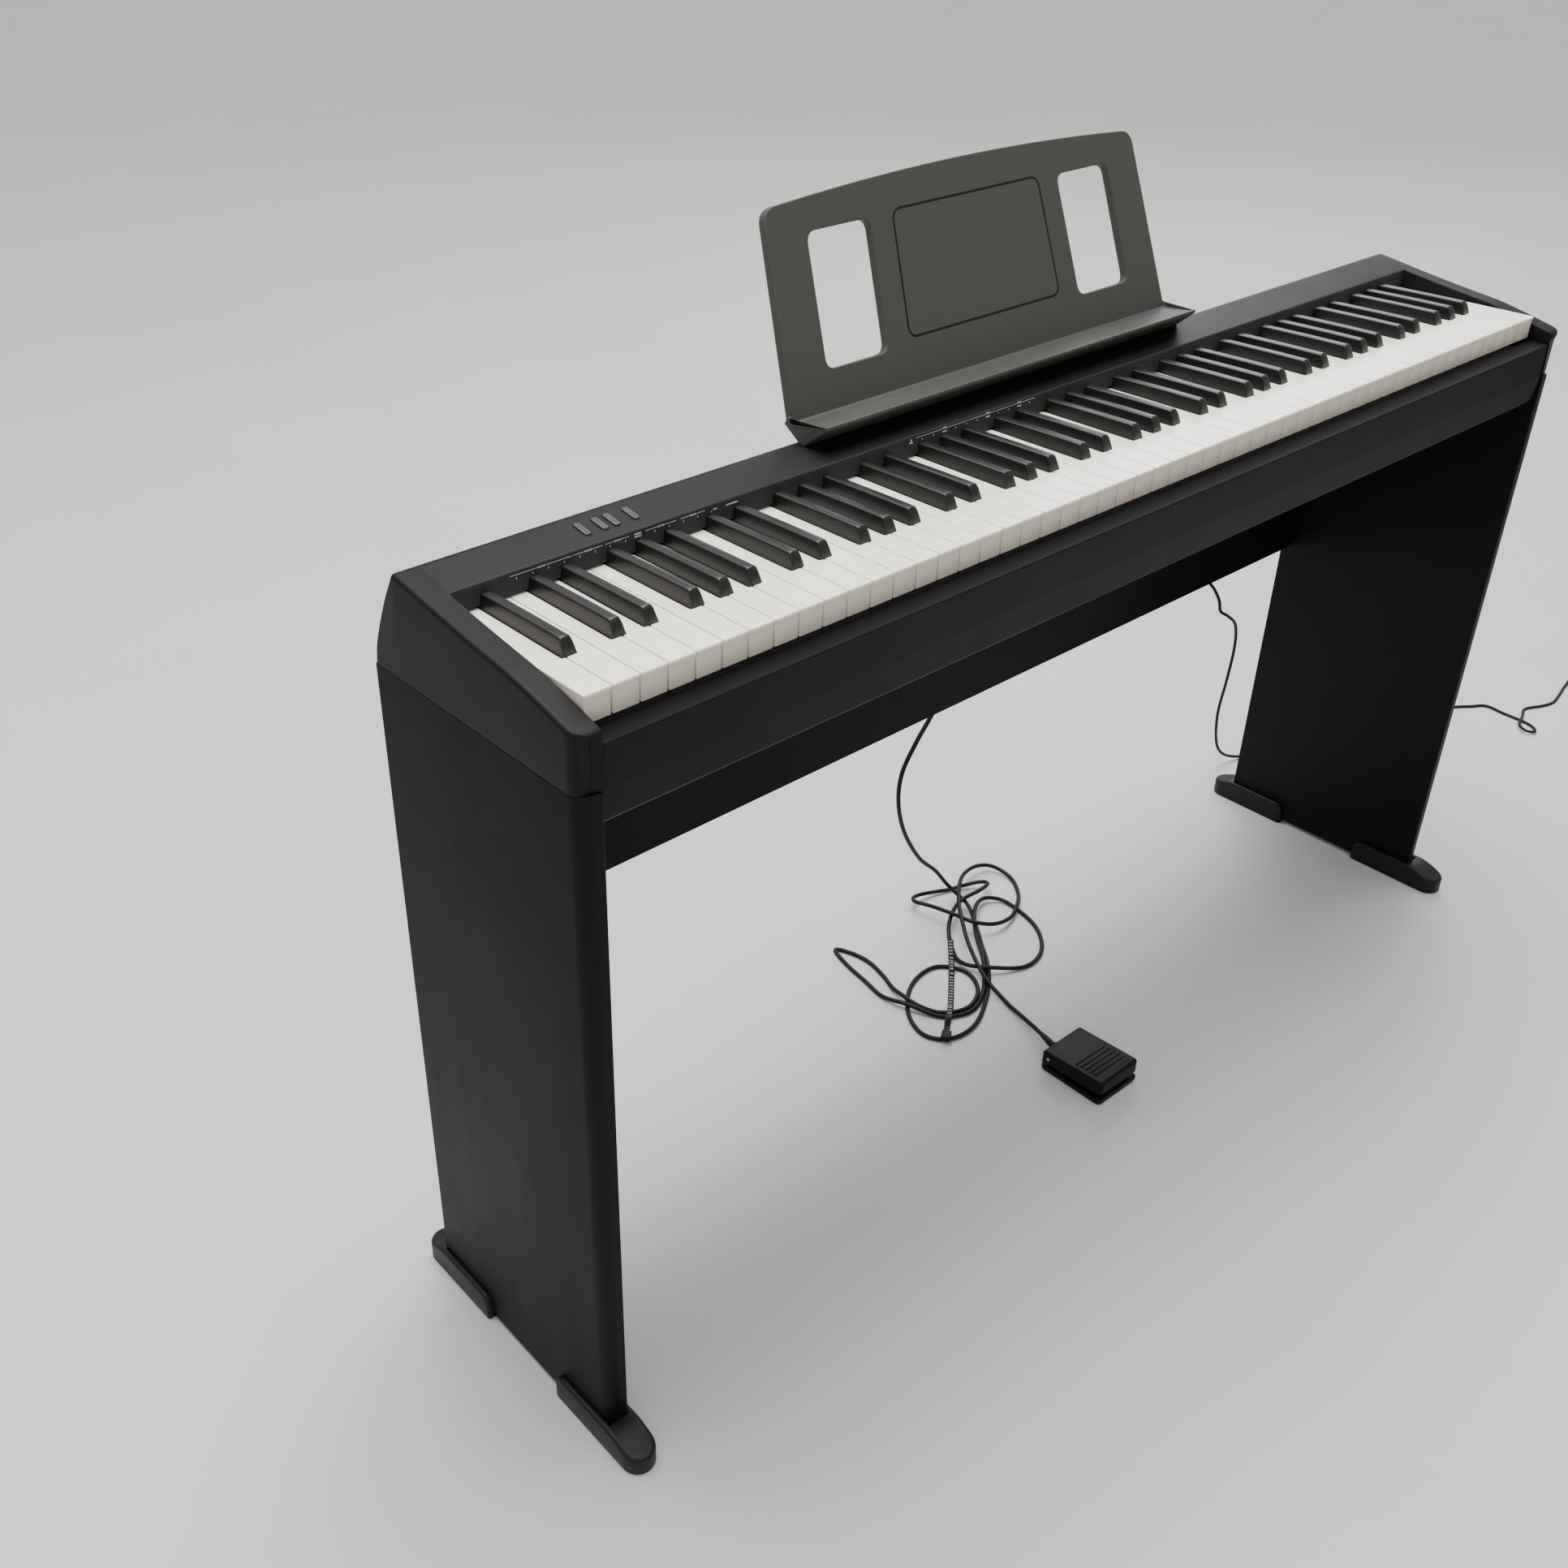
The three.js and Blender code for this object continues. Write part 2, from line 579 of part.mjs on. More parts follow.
function backBoard(group) {
  const half = BOARD_INNER - TOUCH;
  part(group, "back_board", box(-half, half, CASE_REAR - BACK.thick, CASE_REAR, BACK.low, BACK.high), STAND_BLACK);
}

// An angle plate between a side board and the back board.
function bracket(group, name, side, z) {
  const x = side * (BOARD_INNER - TOUCH);
  const y = CASE_REAR - BACK.thick - TOUCH;
  const leg = (dx, dy) => box(Math.min(x, x - side * dx), Math.max(x, x - side * dx), y - dy, y, z, z + 40);
  part(group, name, joined([leg(2, 28), leg(28, 2)]), STEEL);
}

// A cradle under the end of a side board, with a long rounded nose that keeps the stand from tipping.
function foot(group, name, side, front) {
  const f = FOOT;
  const x = side * (CASE_HALF - BOARD / 2);
  const r = f.width / 2;
  const way = front ? 1 : -1;
  const tip = front ? f.front : f.rear;
  const end = front ? f.front_end : f.rear_end;
  const board = front ? CASE_FRONT : CASE_REAR;
  const s = new THREE.Shape();
  s.moveTo(x - r, end);
  s.lineTo(x - r, tip + way * r);
  s.absarc(x, tip + way * r, r, Math.PI, 0, !front);
  s.lineTo(x + r, end);
  s.closePath();
  const top = outline([
    [tip - way, 0],
    [tip - way, f.tip],
    [tip + way * 6, f.tip + 1],
    [board - way * 6, f.wall],
    [end - way * 8, f.wall],
    [end, f.wall - 8],
    [end, 0],
  ]);
  const plan = upright(s, 0, f.wall + 5, 10);
  const profile = across(top, x - r - 1, x + r + 1);
  const body = (profile.volume() < 0 ? across(outline(top.getPoints().reverse()), x - r - 1, x + r + 1) : profile).intersect(plan);
  const slot = side * (CASE_HALF - BOARD - TOUCH);
  const wide = side * (CASE_HALF + TOUCH);
  const y0 = Math.min(board - way * TOUCH, end + way * 5);
  const y1 = Math.max(board - way * TOUCH, end + way * 5);
  const bed = box(Math.min(slot, wide), Math.max(slot, wide), y0, y1, f.sole, f.wall + 6);
  part(group, name, body.subtract(bed), FOOT_BLACK);
}

// ---------- the foot switch, in its own frame: x across, y along it, z up from the floor ----------
function footSwitch(group) {
  const p = PEDAL;
  const w = p.width / 2;
  const l = p.length / 2;
  const front = p.y - l;
  const rear = p.y + l;
  const hinge = { y: rear - 9, z: 17 };
  const plate = upright(rounded(p.x - w, p.x + w, front, rear, 6), p.sole + TOUCH, p.base);
  const ears = [-1, 1].map((side) => {
    const x = p.x + side * (w - 5.5);
    return box(x - 1.5, x + 1.5, hinge.y - 5, hinge.y + 5, p.base - 2, hinge.z + 3.5);
  });
  const tower = box(p.x - 16, p.x + 16, rear - 7, rear, p.base - 2, 19);
  const stud = post(p.x, p.y - 12, p.base - 2, 18, 6, 16);
  const axle = rod(p.x - w + 0.6, p.x + w - 0.6, hinge.y, hinge.z, 1.8);
  const bore = rod(p.x - w - 1, p.x + w + 1, hinge.y, hinge.z, 1.85);
  part(group, "pedal_base", joined([plate, ...ears, tower, stud]).subtract(bore), SOCKET_BLACK);
  part(group, "pedal_pin", axle, STEEL);

  // The treadle is a shell over the base: a sloping top with a skirt at the front and the sides.
  const half = w - 1;
  const top = (y) => p.rise - ((y - front) * 5) / (rear - front);
  const side = outline([
    [front + 1, p.skirt],
    [front + 1, p.rise - 2.5],
    [front + 3.5, p.rise],
    [rear - 3, top(rear)],
    [rear - 0.5, top(rear) - 2.5],
    [rear - 0.5, 9],
  ]);
  const inside = outline([
    [front + 3.5, 0],
    [front + 3.5, p.rise - 3.5],
    [front + 5, p.rise - 2.8],
    [rear + 2, top(rear) - 2.6],
    [rear + 2, 0],
  ]);
  const block = across(turned(side), p.x - half, p.x + half).intersect(upright(rounded(p.x - half, p.x + half, front + 1, rear + 9, 5), 0, 60));
  const hollow = across(turned(inside), p.x - half + 2.5, p.x + half - 2.5);
  const grooves = [-12, -6, 0, 6, 12].map((dy) => {
    const y = p.y - 12 + dy;
    return box(p.x - half + 6, p.x + half - 6, y - 1, y + 1, top(y) - 1, 60);
  });
  part(group, "pedal_treadle", without(block, [hollow, ...grooves]).subtract(bore), FOOT_BLACK);
  part(group, "pedal_sole", upright(rounded(p.x - w + 1, p.x + w - 1, front + 1, rear - 1, 5), 0, p.sole), RUBBER);
}

// A round bar that lies along X.
function rod(x0, x1, y, z, radius, sides = 12) {
  const g = new THREE.CylinderGeometry(radius, radius, x1 - x0, sides);
  g.rotateZ(Math.PI / 2);
  return solid(g.translate((x0 + x1) / 2, y, z));
}

// The same outline with its corners in counter-clockwise order.
function turned(shape) {
  const points = shape.getPoints();
  return new THREE.Shape(THREE.ShapeUtils.isClockWise(points) ? points.reverse() : points);
}

// ---------- leads, in the final frame ----------
const PEDAL_CORD = 5;
const DC_CORD = 4;

// A round cord through points set by hand.
function cord(points, diameter, steps, sides) {
  const curve = new THREE.CatmullRomCurve3(points.map((p) => new THREE.Vector3(...p)), false, "centripetal");
  const ring = new THREE.Shape();
  for (let k = 0; k < sides; k++) {
    const a = (2 * Math.PI * k) / sides;
    const method = k === 0 ? "moveTo" : "lineTo";
    ring[method]((Math.cos(a) * diameter) / 2, (Math.sin(a) * diameter) / 2);
  }
  return new THREE.ExtrudeGeometry(ring, { steps, extrudePath: curve, curveSegments: 1, bevelEnabled: false });
}

function pedalLead(group) {
  const x = REAR_JACKS.pedal_socket;
  const z = KEY_TOP + JACK_Z;
  const y = KEY_FRONT + CASE_REAR - 2;
  const plug = joined([pin(x, z, y - 12, y + 1, 3.1, 12), pin(x, z, y + TOUCH, y + 30, 5.5, 12), pin(x, z, y + 29, y + 42, 3.8, 12)]);
  part(group, "pedal_plug", plug, CORD_BLACK);
  const end = { x: PEDAL.x - 6, y: PEDAL.y + PEDAL.length / 2 + TOUCH };
  const hanging = [
    [x, y + 42 + TOUCH, z],
    [x, y + 50, z],
    [x, y + 64, z - 9],
    [x, y + 70, z - 30],
    [x + 1, y + 63, 556],
    [x, y + 48, 500],
    [x - 7, y + 40, 440],
    [x - 30, y + 34, 385],
    [26, 157, 338],
    [5, 158, 310],
    [-9, 162, 275],
    [-4, 168, 232],
    [22, 179, 177],
    [70, 196, 112],
    [119, 211, 63],
    [147, 214, 28],
    [154, 201, 16],
    [152, 182, 11],
    [137, 157, 8],
    [114, 126, 6],
  ];
  const lying = [
    ...[[95, 101], [68, 75], [31, 50], [0, 36], [-28, 35], [-48, 46], [-55, 66], [-44, 94]],
    ...[[-18, 120], [12, 134], [42, 134], [60, 115], [61, 94], [46, 72], [18, 61], [-9, 71]],
    ...[[-27, 97], [-27, 128], [-16, 160], [-10, 190], [-14, 216], [-24, 234], [-32, 204], [-38, 170]],
    ...[[-43, 135], [-36, 105], [-18, 70], [10, 55], [38, 61], [66, 80], [95, 108], [124, 146]],
    ...[[153, 172], [180, 182], [199, 170], [201, 145], [190, 107], [164, 77], [132, 66], [101, 76]],
    ...[[77, 94], [69, 116], [80, 142], [104, 170], [140, 188], [181, 190], [204, 197], [196, 211]],
    ...[[160, 229], [122, 237], [106, 229], [110, 205], [117, 175], [126, 150], [148, 135], [182, 138]],
    ...[[220, 160], [243, 190], [241, 220], [218, 230], [180, 219], [139, 187], [112, 158], [88, 126], [70, 92]],
  ].map((p) => [...p, 3]);
  const last = [
    [60, 60, 4],
    [55, 34, 7],
    [48, 8, 11],
    [40, -16, 13],
    [32, -36, 14],
    [end.x, end.y + 6, 14],
    [end.x, end.y, 14],
  ];
  part(group, "pedal_cord", cord([...hanging, ...lying, ...last], PEDAL_CORD, 80, 8), CORD_BLACK);
}

function powerLead(group) {
  const x = REAR_JACKS.dc_socket;
  const z = KEY_TOP + JACK_Z;
  const y = KEY_FRONT + CASE_REAR - 2;
  const plug = joined([pin(x, z, y - 12, y + 1, 2.6, 12), pin(x, z, y + TOUCH, y + 26, 5, 12)]);
  part(group, "dc_plug", plug, CORD_BLACK);
  const end = { x: 1326, y: -14 };
  const path = [
    [x, y + 26 + TOUCH, z],
    [x, y + 33, z],
    [x, y + 46, z - 8],
    [x, y + 52, z - 26],
    [x + 1, y + 49, 566],
    [x + 3, y + 42, 510],
    [x + 9, y + 32, 450],
    [x + 22, y + 23, 400],
    [484, 142, 362],
    [507, 141, 338],
    [522, 141, 318],
    [531, 142, 301],
    [552, 143, 287],
    [580, 147, 264],
    [602, 155, 222],
    [618, 166, 165],
    [636, 180, 95],
    [664, 186, 32],
    [702, 180, 6],
    [760, 162, 3],
    [850, 132, 3],
    [950, 102, 3],
    [1020, 80, 3],
    [1066, 59, 3],
    [1090, 42, 3],
    [1108, 28, 3],
    [1106, 0, 3],
    [1105, -28, 3],
    [1100, -45, 3],
    [1088, -54, 4],
    [1077, -47, 7],
    [1082, -34, 8],
    [1096, -28, 7],
    [1118, -21, 4],
    [1142, -13, 3],
    [1168, -24, 3],
    [1190, -30, 3],
    [1217, -26, 3],
    [1253, -18, 3],
    [1284, -14, 9],
    [end.x - 16, end.y, 14],
    [end.x - TOUCH, end.y, 16],
  ];
  part(group, "dc_cord", cord(path, DC_CORD, 80, 8), CORD_BLACK);

  const half = 23;
  const shell = upright(rounded(end.x, end.x + 78, end.y - half, end.y + half, 7), 0, 32);
  const neck = rod(end.x + 77, end.x + 92, end.y, 16, 13, 24);
  const prongs = [-9.5, 9.5].map((dy) => rod(end.x + 91, end.x + 109, end.y + dy, 16, 2, 10));
  part(group, "mains_adapter", joined([shell, neck, ...prongs]), SOCKET_BLACK);
}

// The ribbed strap left lying over the foot switch's loops.
function cordTie(group) {
  const from = new THREE.Vector2(86, 151);
  const to = new THREE.Vector2(-44, 40);
  const run = to.clone().sub(from);
  const strap = box(0, run.length(), -3, 3, 6.4, 8).rotate([0, 0, (Math.atan2(run.y, run.x) * 180) / Math.PI]);
  part(group, "cord_tie", strap.translate([from.x, from.y, 0]), CORD_BLACK);
}

// ---------- everything together ----------
const root = new THREE.Group();
const piano = new THREE.Group();
piano.position.set(0, KEY_FRONT, KEY_TOP);
root.add(piano);
upperCase(piano);
frontRail(piano);
lowerCase(piano);
keyChassis(piano);
keyboard(piano);
boards(piano);
for (const [name, x] of Object.entries(BUTTONS)) panelButton(piano, name, x);
speaker(piano, "speaker_left", -SPEAKER.x);
speaker(piano, "speaker_right", SPEAKER.x);
rearSocket(piano, "dc_socket", REAR_JACKS.dc_socket, 2.8);
rearSocket(piano, "usb_socket", REAR_JACKS.usb_socket, 4);
rearSocket(piano, "phones_socket", REAR_JACKS.phones_socket, 3.6);
rearSocket(piano, "pedal_socket", REAR_JACKS.pedal_socket, 3.6);
musicRest(piano);

const stand = new THREE.Group();
stand.position.set(0, KEY_FRONT, 0);
root.add(stand);
for (const [side, word] of [
  [-1, "left"],
  [1, "right"],
]) {
  sideBoard(stand, "side_board_" + word, side);
  bracket(stand, "bracket_" + word, side, 540);
  foot(stand, "front_foot_" + word, side, true);
  foot(stand, "rear_foot_" + word, side, false);
}
backBoard(stand);
footSwitch(root);
pedalLead(root);
powerLead(root);
cordTie(root);
export default root;
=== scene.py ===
# %% [markdown]
# # A slim digital piano on a board stand
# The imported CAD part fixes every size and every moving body. This lesson dresses it: most visible
# pieces are made again as smooth surfaces in the same place, and all of them get a material made
# of nodes. Lengths are in metres, +X is the treble end, +Y is away from the player, +Z is up.

import math

import bpy
import numpy as np
from mathutils import Matrix, Vector


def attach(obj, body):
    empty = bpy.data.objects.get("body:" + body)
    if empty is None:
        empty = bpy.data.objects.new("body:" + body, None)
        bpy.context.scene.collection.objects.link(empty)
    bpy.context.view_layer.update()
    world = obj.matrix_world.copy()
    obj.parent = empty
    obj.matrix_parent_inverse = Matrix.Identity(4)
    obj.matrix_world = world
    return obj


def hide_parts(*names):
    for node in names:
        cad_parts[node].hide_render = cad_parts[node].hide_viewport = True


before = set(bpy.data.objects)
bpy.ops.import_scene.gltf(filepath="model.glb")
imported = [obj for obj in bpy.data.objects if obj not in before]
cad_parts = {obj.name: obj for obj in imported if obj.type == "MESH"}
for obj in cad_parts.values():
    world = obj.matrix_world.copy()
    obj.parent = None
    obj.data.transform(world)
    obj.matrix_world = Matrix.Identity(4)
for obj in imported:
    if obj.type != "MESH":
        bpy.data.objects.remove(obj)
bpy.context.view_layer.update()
MM = 0.001

# %% [markdown]
# ## The sizes that the pieces share
# The keyboard's own axes are handy: `KEY_FRONT` is where the white keys begin and `KEY_TOP` is the
# height of their tops. Every profile below is drawn in those axes, in millimetres.

# %% Sizes
KEY_TOP = 703.0
KEY_FRONT = -100.6
KEY_PITCH = 23.5
WHITE_KEYS = 52
KEYBOARD = KEY_PITCH * WHITE_KEYS
CHEEK_INNER = 612.5
CASE_HALF = 634.0
CASE_FRONT = -22.9
CASE_SEAM = -59.0
CASE_REAR = 227.0
CORNER = 13.0
BOARD_INNER = 614.5


def moved(shell, y=0.0, z=0.0):
    """A shell, which is vertices and faces, moved by y and z and turned from millimetres into metres."""
    v, f = shell
    return (np.asarray(v, float) + [0.0, y, z]) * MM, f


def from_keys(shell):
    """From the keyboard's axes to the frame's."""
    return moved(shell, KEY_FRONT, KEY_TOP)


def from_floor(shell):
    """The same for a shell whose heights are measured from the floor."""
    return moved(shell, KEY_FRONT)


print("keyboard", KEYBOARD, "mm wide, case", 2 * CASE_HALF, "mm")


# %% [markdown]
# ## Surfaces from grids
# Two ways of making a surface cover nearly everything here. A *loft* is a row of closed rings with
# the same number of points, joined ring to ring. A *plan* is one outline that is carried upward
# while it is drawn in a little, which rounds its edges.


# %% Lofts and outlines
def loft(rings):
    """Vertices and faces of rings joined in order: point j of ring i meets point j of ring i + 1. One
    face closes the first ring and one the last."""
    rings = np.asarray(rings, float)
    m, n, _ = rings.shape
    i, j = np.meshgrid(np.arange(m - 1), np.arange(n), indexing="ij")
    k = (j + 1) % n
    quads = np.stack([i * n + j, i * n + k, (i + 1) * n + k, (i + 1) * n + j], -1).reshape(-1, 4)
    ends = [list(range(n))[::-1], list(range((m - 1) * n, m * n))]
    return rings.reshape(-1, 3), quads.tolist() + ends


def together(shells):
    """One list of vertices and faces from several: each shell's numbers move up by those before it."""
    places, faces, count = [], [], 0
    for v, f in shells:
        places.append(v)
        faces += [[a + count for a in face] for face in f]
        count += len(v)
    return np.concatenate(places), faces


def rounded(points, radius, steps=5):
    """A polygon with its corners rounded: each corner becomes a quadratic curve that starts and ends
    at a distance of radius from it. radius is one number or one for each corner."""
    p = np.asarray(points, float)
    r = np.broadcast_to(np.asarray(radius, float), len(p))
    before, after = np.roll(p, 1, 0) - p, np.roll(p, -1, 0) - p
    a = p + before / np.linalg.norm(before, axis=1)[:, None] * r[:, None]
    b = p + after / np.linalg.norm(after, axis=1)[:, None] * r[:, None]
    t = np.linspace(0, 1, steps)[None, :, None]
    return ((1 - t) ** 2 * a[:, None] + 2 * t * (1 - t) * p[:, None] + t**2 * b[:, None]).reshape(-1, 2)


def drawn_in(outline, distance):
    """The outline moved inward: each point goes along the sum of its two edge normals, divided by
    one plus their dot product, so that the edges stay parallel."""
    edge = np.roll(outline, -1, 0) - outline
    edge /= np.linalg.norm(edge, axis=1)[:, None] + 1e-12
    normal = np.stack([-edge[:, 1], edge[:, 0]], -1)
    before = np.roll(normal, 1, 0)
    spread = 1 + (normal * before).sum(1)
    return outline + (normal + before) / np.maximum(spread, 0.2)[:, None] * distance


def plan(outline, low, high, bottom=0.4, top=0.6, steps=4, flat=0.15):
    """A counter-clockwise outline (x, y) carried from z = low to z = high. Each edge is a quarter circle
    of radius r: the outline is drawn in by r (1 - cos a) while z moves by r sin a."""
    a = np.linspace(0, math.pi / 2, steps)
    insets = np.r_[bottom + flat, bottom * (1 - np.sin(a)), top * (1 - np.cos(a)), top + flat]
    heights = np.r_[low, low + bottom * (1 - np.cos(a)), high - top + top * np.sin(a), high]
    rings = [np.c_[drawn_in(outline, d), np.full(len(outline), z)] for d, z in zip(insets, heights)]
    return loft(rings)


def rectangle(x0, x1, y0, y1):
    """Its four corners, counter-clockwise."""
    return np.array([[x0, y0], [x1, y0], [x1, y1], [x0, y1]], float)


def swept(profile, x0, x1, edge=0.5, steps=3):
    """A closed profile (y, z), counter-clockwise from +X, carried along X with rounded end edges."""
    a = np.linspace(0, math.pi / 2, steps)
    flat = min(0.25, edge)
    insets = np.r_[edge + flat, edge * (1 - np.sin(a)), edge * (1 - np.cos(a)), edge + flat]
    places = np.r_[x0, x0 + edge * (1 - np.cos(a)), x1 - edge + edge * np.sin(a), x1]
    rings = []
    for d, x in zip(insets, places):
        ring = drawn_in(profile, d)
        rings.append(np.c_[np.full(len(ring), x), ring])
    return loft(rings)


def bar(path, radius, sides=16):
    """Rings of the given radii around a path: each ring stands square to the path, and its frame is
    carried along by projecting the last one, so the tube never twists."""
    path = np.asarray(path, float)
    radius = np.broadcast_to(np.asarray(radius, float), len(path))
    along = np.gradient(path, axis=0)
    along /= np.linalg.norm(along, axis=1)[:, None]
    side = np.cross(along[0], [0.3, 0.2, 0.9])
    turns = np.linspace(0, 2 * math.pi, sides, endpoint=False)
    rings = []
    for p, t, r in zip(path, along, radius):
        side = side - t * side.dot(t)
        side /= np.linalg.norm(side)
        up = np.cross(t, side)
        rings.append(p + r * (np.cos(turns)[:, None] * side + np.sin(turns)[:, None] * up))
    return loft(rings)


def stadium(x, y, half_width, half_length, radius, steps=6):
    """A rectangle with round corners about (x, y), counter-clockwise."""
    return rounded(rectangle(x - half_width, x + half_width, y - half_length, y + half_length), radius, steps)


print("a rounded square has", len(rounded(rectangle(0, 1, 0, 1), 0.2)), "points")

# %% [markdown]
# ## Putting a surface into the scene
# A piece's object stays at the origin and its place is in its mesh, like the CAD nodes. It rides on the body that
# it belongs to, and the CAD nodes that it stands for are hidden.


# %% Pieces
def piece(name, shell, body, material, replaces=(), crease=38):
    """A mesh object, smooth except where two faces meet at more than crease degrees."""
    v, f = shell
    mesh = bpy.data.meshes.new(name)
    mesh.from_pydata(v.tolist(), [], f)
    mesh.validate()
    mesh.polygons.foreach_set("use_smooth", np.ones(len(mesh.polygons), bool))
    mesh.set_sharp_from_angle(angle=math.radians(crease))
    mesh.materials.append(material)
    thing = bpy.data.objects.new(name, mesh)
    bpy.context.collection.objects.link(thing)
    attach(thing, body)
    if replaces:
        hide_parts(*([replaces] if isinstance(replaces, str) else replaces))
    return thing


def dress(material, *nodes):
    """Gives a CAD node that stays in view its better material."""
    for node in nodes:
        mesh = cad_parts[node].data
        mesh.materials.clear()
        mesh.materials.append(material)


# %% [markdown]
# ## Shader maths
# A material's nodes read best as sums. `Term` wraps one socket, so `1 - mask * 0.3` adds the Math
# nodes it needs. `Sheet.add` makes any other node from its type, its settings and its inputs.


# %% Terms and sheets
class Term:
    """One value on a material's sheet, which can be added, multiplied and compared."""

    def __init__(self, sheet, socket):
        self.sheet, self.socket = sheet, socket

    def math(self, operation, *others):
        """A Math node on this value and the others, which may be values or numbers."""
        inputs = {0: self, **dict(enumerate(others, 1))}
        return self.sheet.add("ShaderNodeMath", {"operation": operation}, inputs)

    def __add__(self, other):
        return self.math("ADD", other)

    __radd__ = __add__

    def __mul__(self, other):
        return self.math("MULTIPLY", other)

    __rmul__ = __mul__

    def __sub__(self, other):
        return self.math("SUBTRACT", other)

    def __rsub__(self, other):
        return self.math("MULTIPLY", -1.0) + other

    def __truediv__(self, other):
        return self.math("DIVIDE", other)

    def __pow__(self, other):
        return self.math("POWER", other)

    def above(self, edge, soft):
        """0 below edge, 1 above edge + soft, and a straight rise between."""
        inputs = {"Value": self, "From Min": edge, "From Max": edge + soft}
        return self.sheet.add("ShaderNodeMapRange", {"clamp": True}, inputs)

    def absolute(self):
        return self.math("ABSOLUTE")

    def largest(self, other):
        return self.math("MAXIMUM", other)

    def smallest(self, other):
        return self.math("MINIMUM", other)


class Sheet:
    """A new material with one Principled shader, and the nodes that feed it."""

    def __init__(self, name):
        self.material = bpy.data.materials.new(name)
        self.material.use_nodes = True
        self.nodes, self.links = self.material.node_tree.nodes, self.material.node_tree.links
        self.shader = self.nodes["Principled BSDF"]

    def add(self, kind, settings=None, inputs=None, out=0):
        node = self.nodes.new(kind)
        for key, value in (settings or {}).items():
            setattr(node, key, value)
        for key, value in (inputs or {}).items():
            self.feed(node.inputs[key], value)
        return Term(self, node.outputs[out])

    def feed(self, socket, value):
        if isinstance(value, Term):
            self.links.new(value.socket, socket)
        else:
            socket.default_value = value

    def place(self, scale=(1, 1, 1)):
        """The point on the object in metres, stretched."""
        here = self.add("ShaderNodeTexCoord", out=3)
        return self.add("ShaderNodeMapping", None, {0: here, "Scale": scale})

    def noise(self, size, detail=2.0, roughness=0.5, where=None):
        """Cloudy values from 0 to 1, with blobs of about the given size in millimetres."""
        inputs = {"Scale": 1000.0 / size, "Detail": detail, "Roughness": roughness}
        inputs["Vector"] = self.place() if where is None else where
        return self.add("ShaderNodeTexNoise", None, inputs)

    def upward(self):
        """1 on faces that look up, 0 on walls and undersides: the z of the surface normal."""
        normal = self.add("ShaderNodeNewGeometry", out=1)
        return self.add("ShaderNodeSeparateXYZ", None, {0: normal}, out=2).largest(0.0)

    def axes(self):
        """x, y and z of the point on the object, in metres."""
        here = self.add("ShaderNodeTexCoord", out=3)
        return [self.add("ShaderNodeSeparateXYZ", None, {0: here}, out=k) for k in range(3)]

    def mix(self, mask, low, high):
        """Colour low where mask is 0 and high where it is 1."""
        return self.add("ShaderNodeMix", {"data_type": "RGBA"}, {0: mask, 6: low, 7: high}, out=2)

    def bump(self, height, distance):
        """The normal of a surface raised by height times distance, in millimetres."""
        return self.add("ShaderNodeBump", None, {"Height": height, "Distance": distance * MM, "Strength": 1.0})

    def finish(self, colour, roughness, normal=None, **fixed):
        """Feeds the shader: what varies goes through links, and the fixed numbers sit on its own sockets."""
        self.feed(self.shader.inputs["Base Color"], colour)
        self.feed(self.shader.inputs["Roughness"], roughness)
        if normal is not None:
            self.feed(self.shader.inputs["Normal"], normal)
        for key, value in fixed.items():
            self.shader.inputs[key.replace("_", " ")].default_value = value
        return self.material


def tone(r, g, b):
    return (r, g, b, 1.0)


# %% [markdown]
# ## Black moulded plastic
# The case is moulded with a very fine spark-eroded grain. It is never one flat black: the grain
# scatters light, handling polishes some patches, and a film of dust lies on the faces that look up.


# %% Moulded plastic
def moulded(name, colour, rough, grain=0.35, depth=0.05, dust=0.1, patch=70.0, specular=0.5, grooves=None):
    """Fine grain of the given size and depth in millimetres, polished patches, and dust on what looks up. grooves
    may add dark lines, painted shade in gaps and grooves: it takes the sheet and gives their mask. With it, the
    panel's upright front is also painted paler, as painted light from the keys."""
    s = Sheet(name)
    patches = s.noise(patch, 3.0, 0.6)
    fine = s.noise(grain, 2.0, 0.7)
    specks = s.noise(2.2, 2.0, 0.5).above(0.68, 0.05)
    lying = s.upward() ** 3.0 * dust
    film = (lying * (patches.above(0.35, 0.5) * 0.7 + 0.3)).smallest(1.0)
    base = s.mix(patches * 0.5, tone(*colour), tone(*(c * 1.25 + 0.002 for c in colour)))
    grey = tone(*(c * 0.75 + 0.035 for c in colour))
    dust_and_painted_light = s.mix(film * 0.5 + specks * lying * 0.6, base, grey)
    rougher = fine * 0.1 + patches * 0.12 + film * 0.18 + (rough - 0.1)
    if grooves is not None:
        gap_depth_and_shade = grooves(s)
        # Painted shade turns the gap and groove lines nearly black, and painted light makes the panel's upright
        # front a paler grey.
        dust_and_painted_light = s.mix(painted_panel_front_light(s), s.mix(gap_depth_and_shade, dust_and_painted_light, tone(0.002, 0.002, 0.002)), tone(0.024, 0.024, 0.0245))
        fine = fine - gap_depth_and_shade * 6.0
    return s.finish(dust_and_painted_light, rougher, s.bump(fine, depth), Specular_IOR_Level=specular)


def painted_panel_front_light(s):
    """1 on the panel's upright front, which is painted paler, as painted light that the keys throw on it: a box
    of x, y and z with soft sides."""
    x, y, z = s.axes()
    near = y.above((KEY_FRONT + 146.0) * MM, 0.5 * MM) * (1.0 - y.above((KEY_FRONT + 150.0) * MM, 0.5 * MM))
    low = near * (1.0 - z.above((KEY_TOP + 17.6) * MM, 1.0 * MM))
    return low * (1.0 - x.absolute().above((CHEEK_INNER - 0.2) * MM, 0.2 * MM))


BUTTON_Y = 169.0
BUTTON_PLACES = {
    "power_button": -484.0,
    "volume_down_button": -468.0,
    "volume_up_button": -457.0,
    "function_button": -439.0,
}


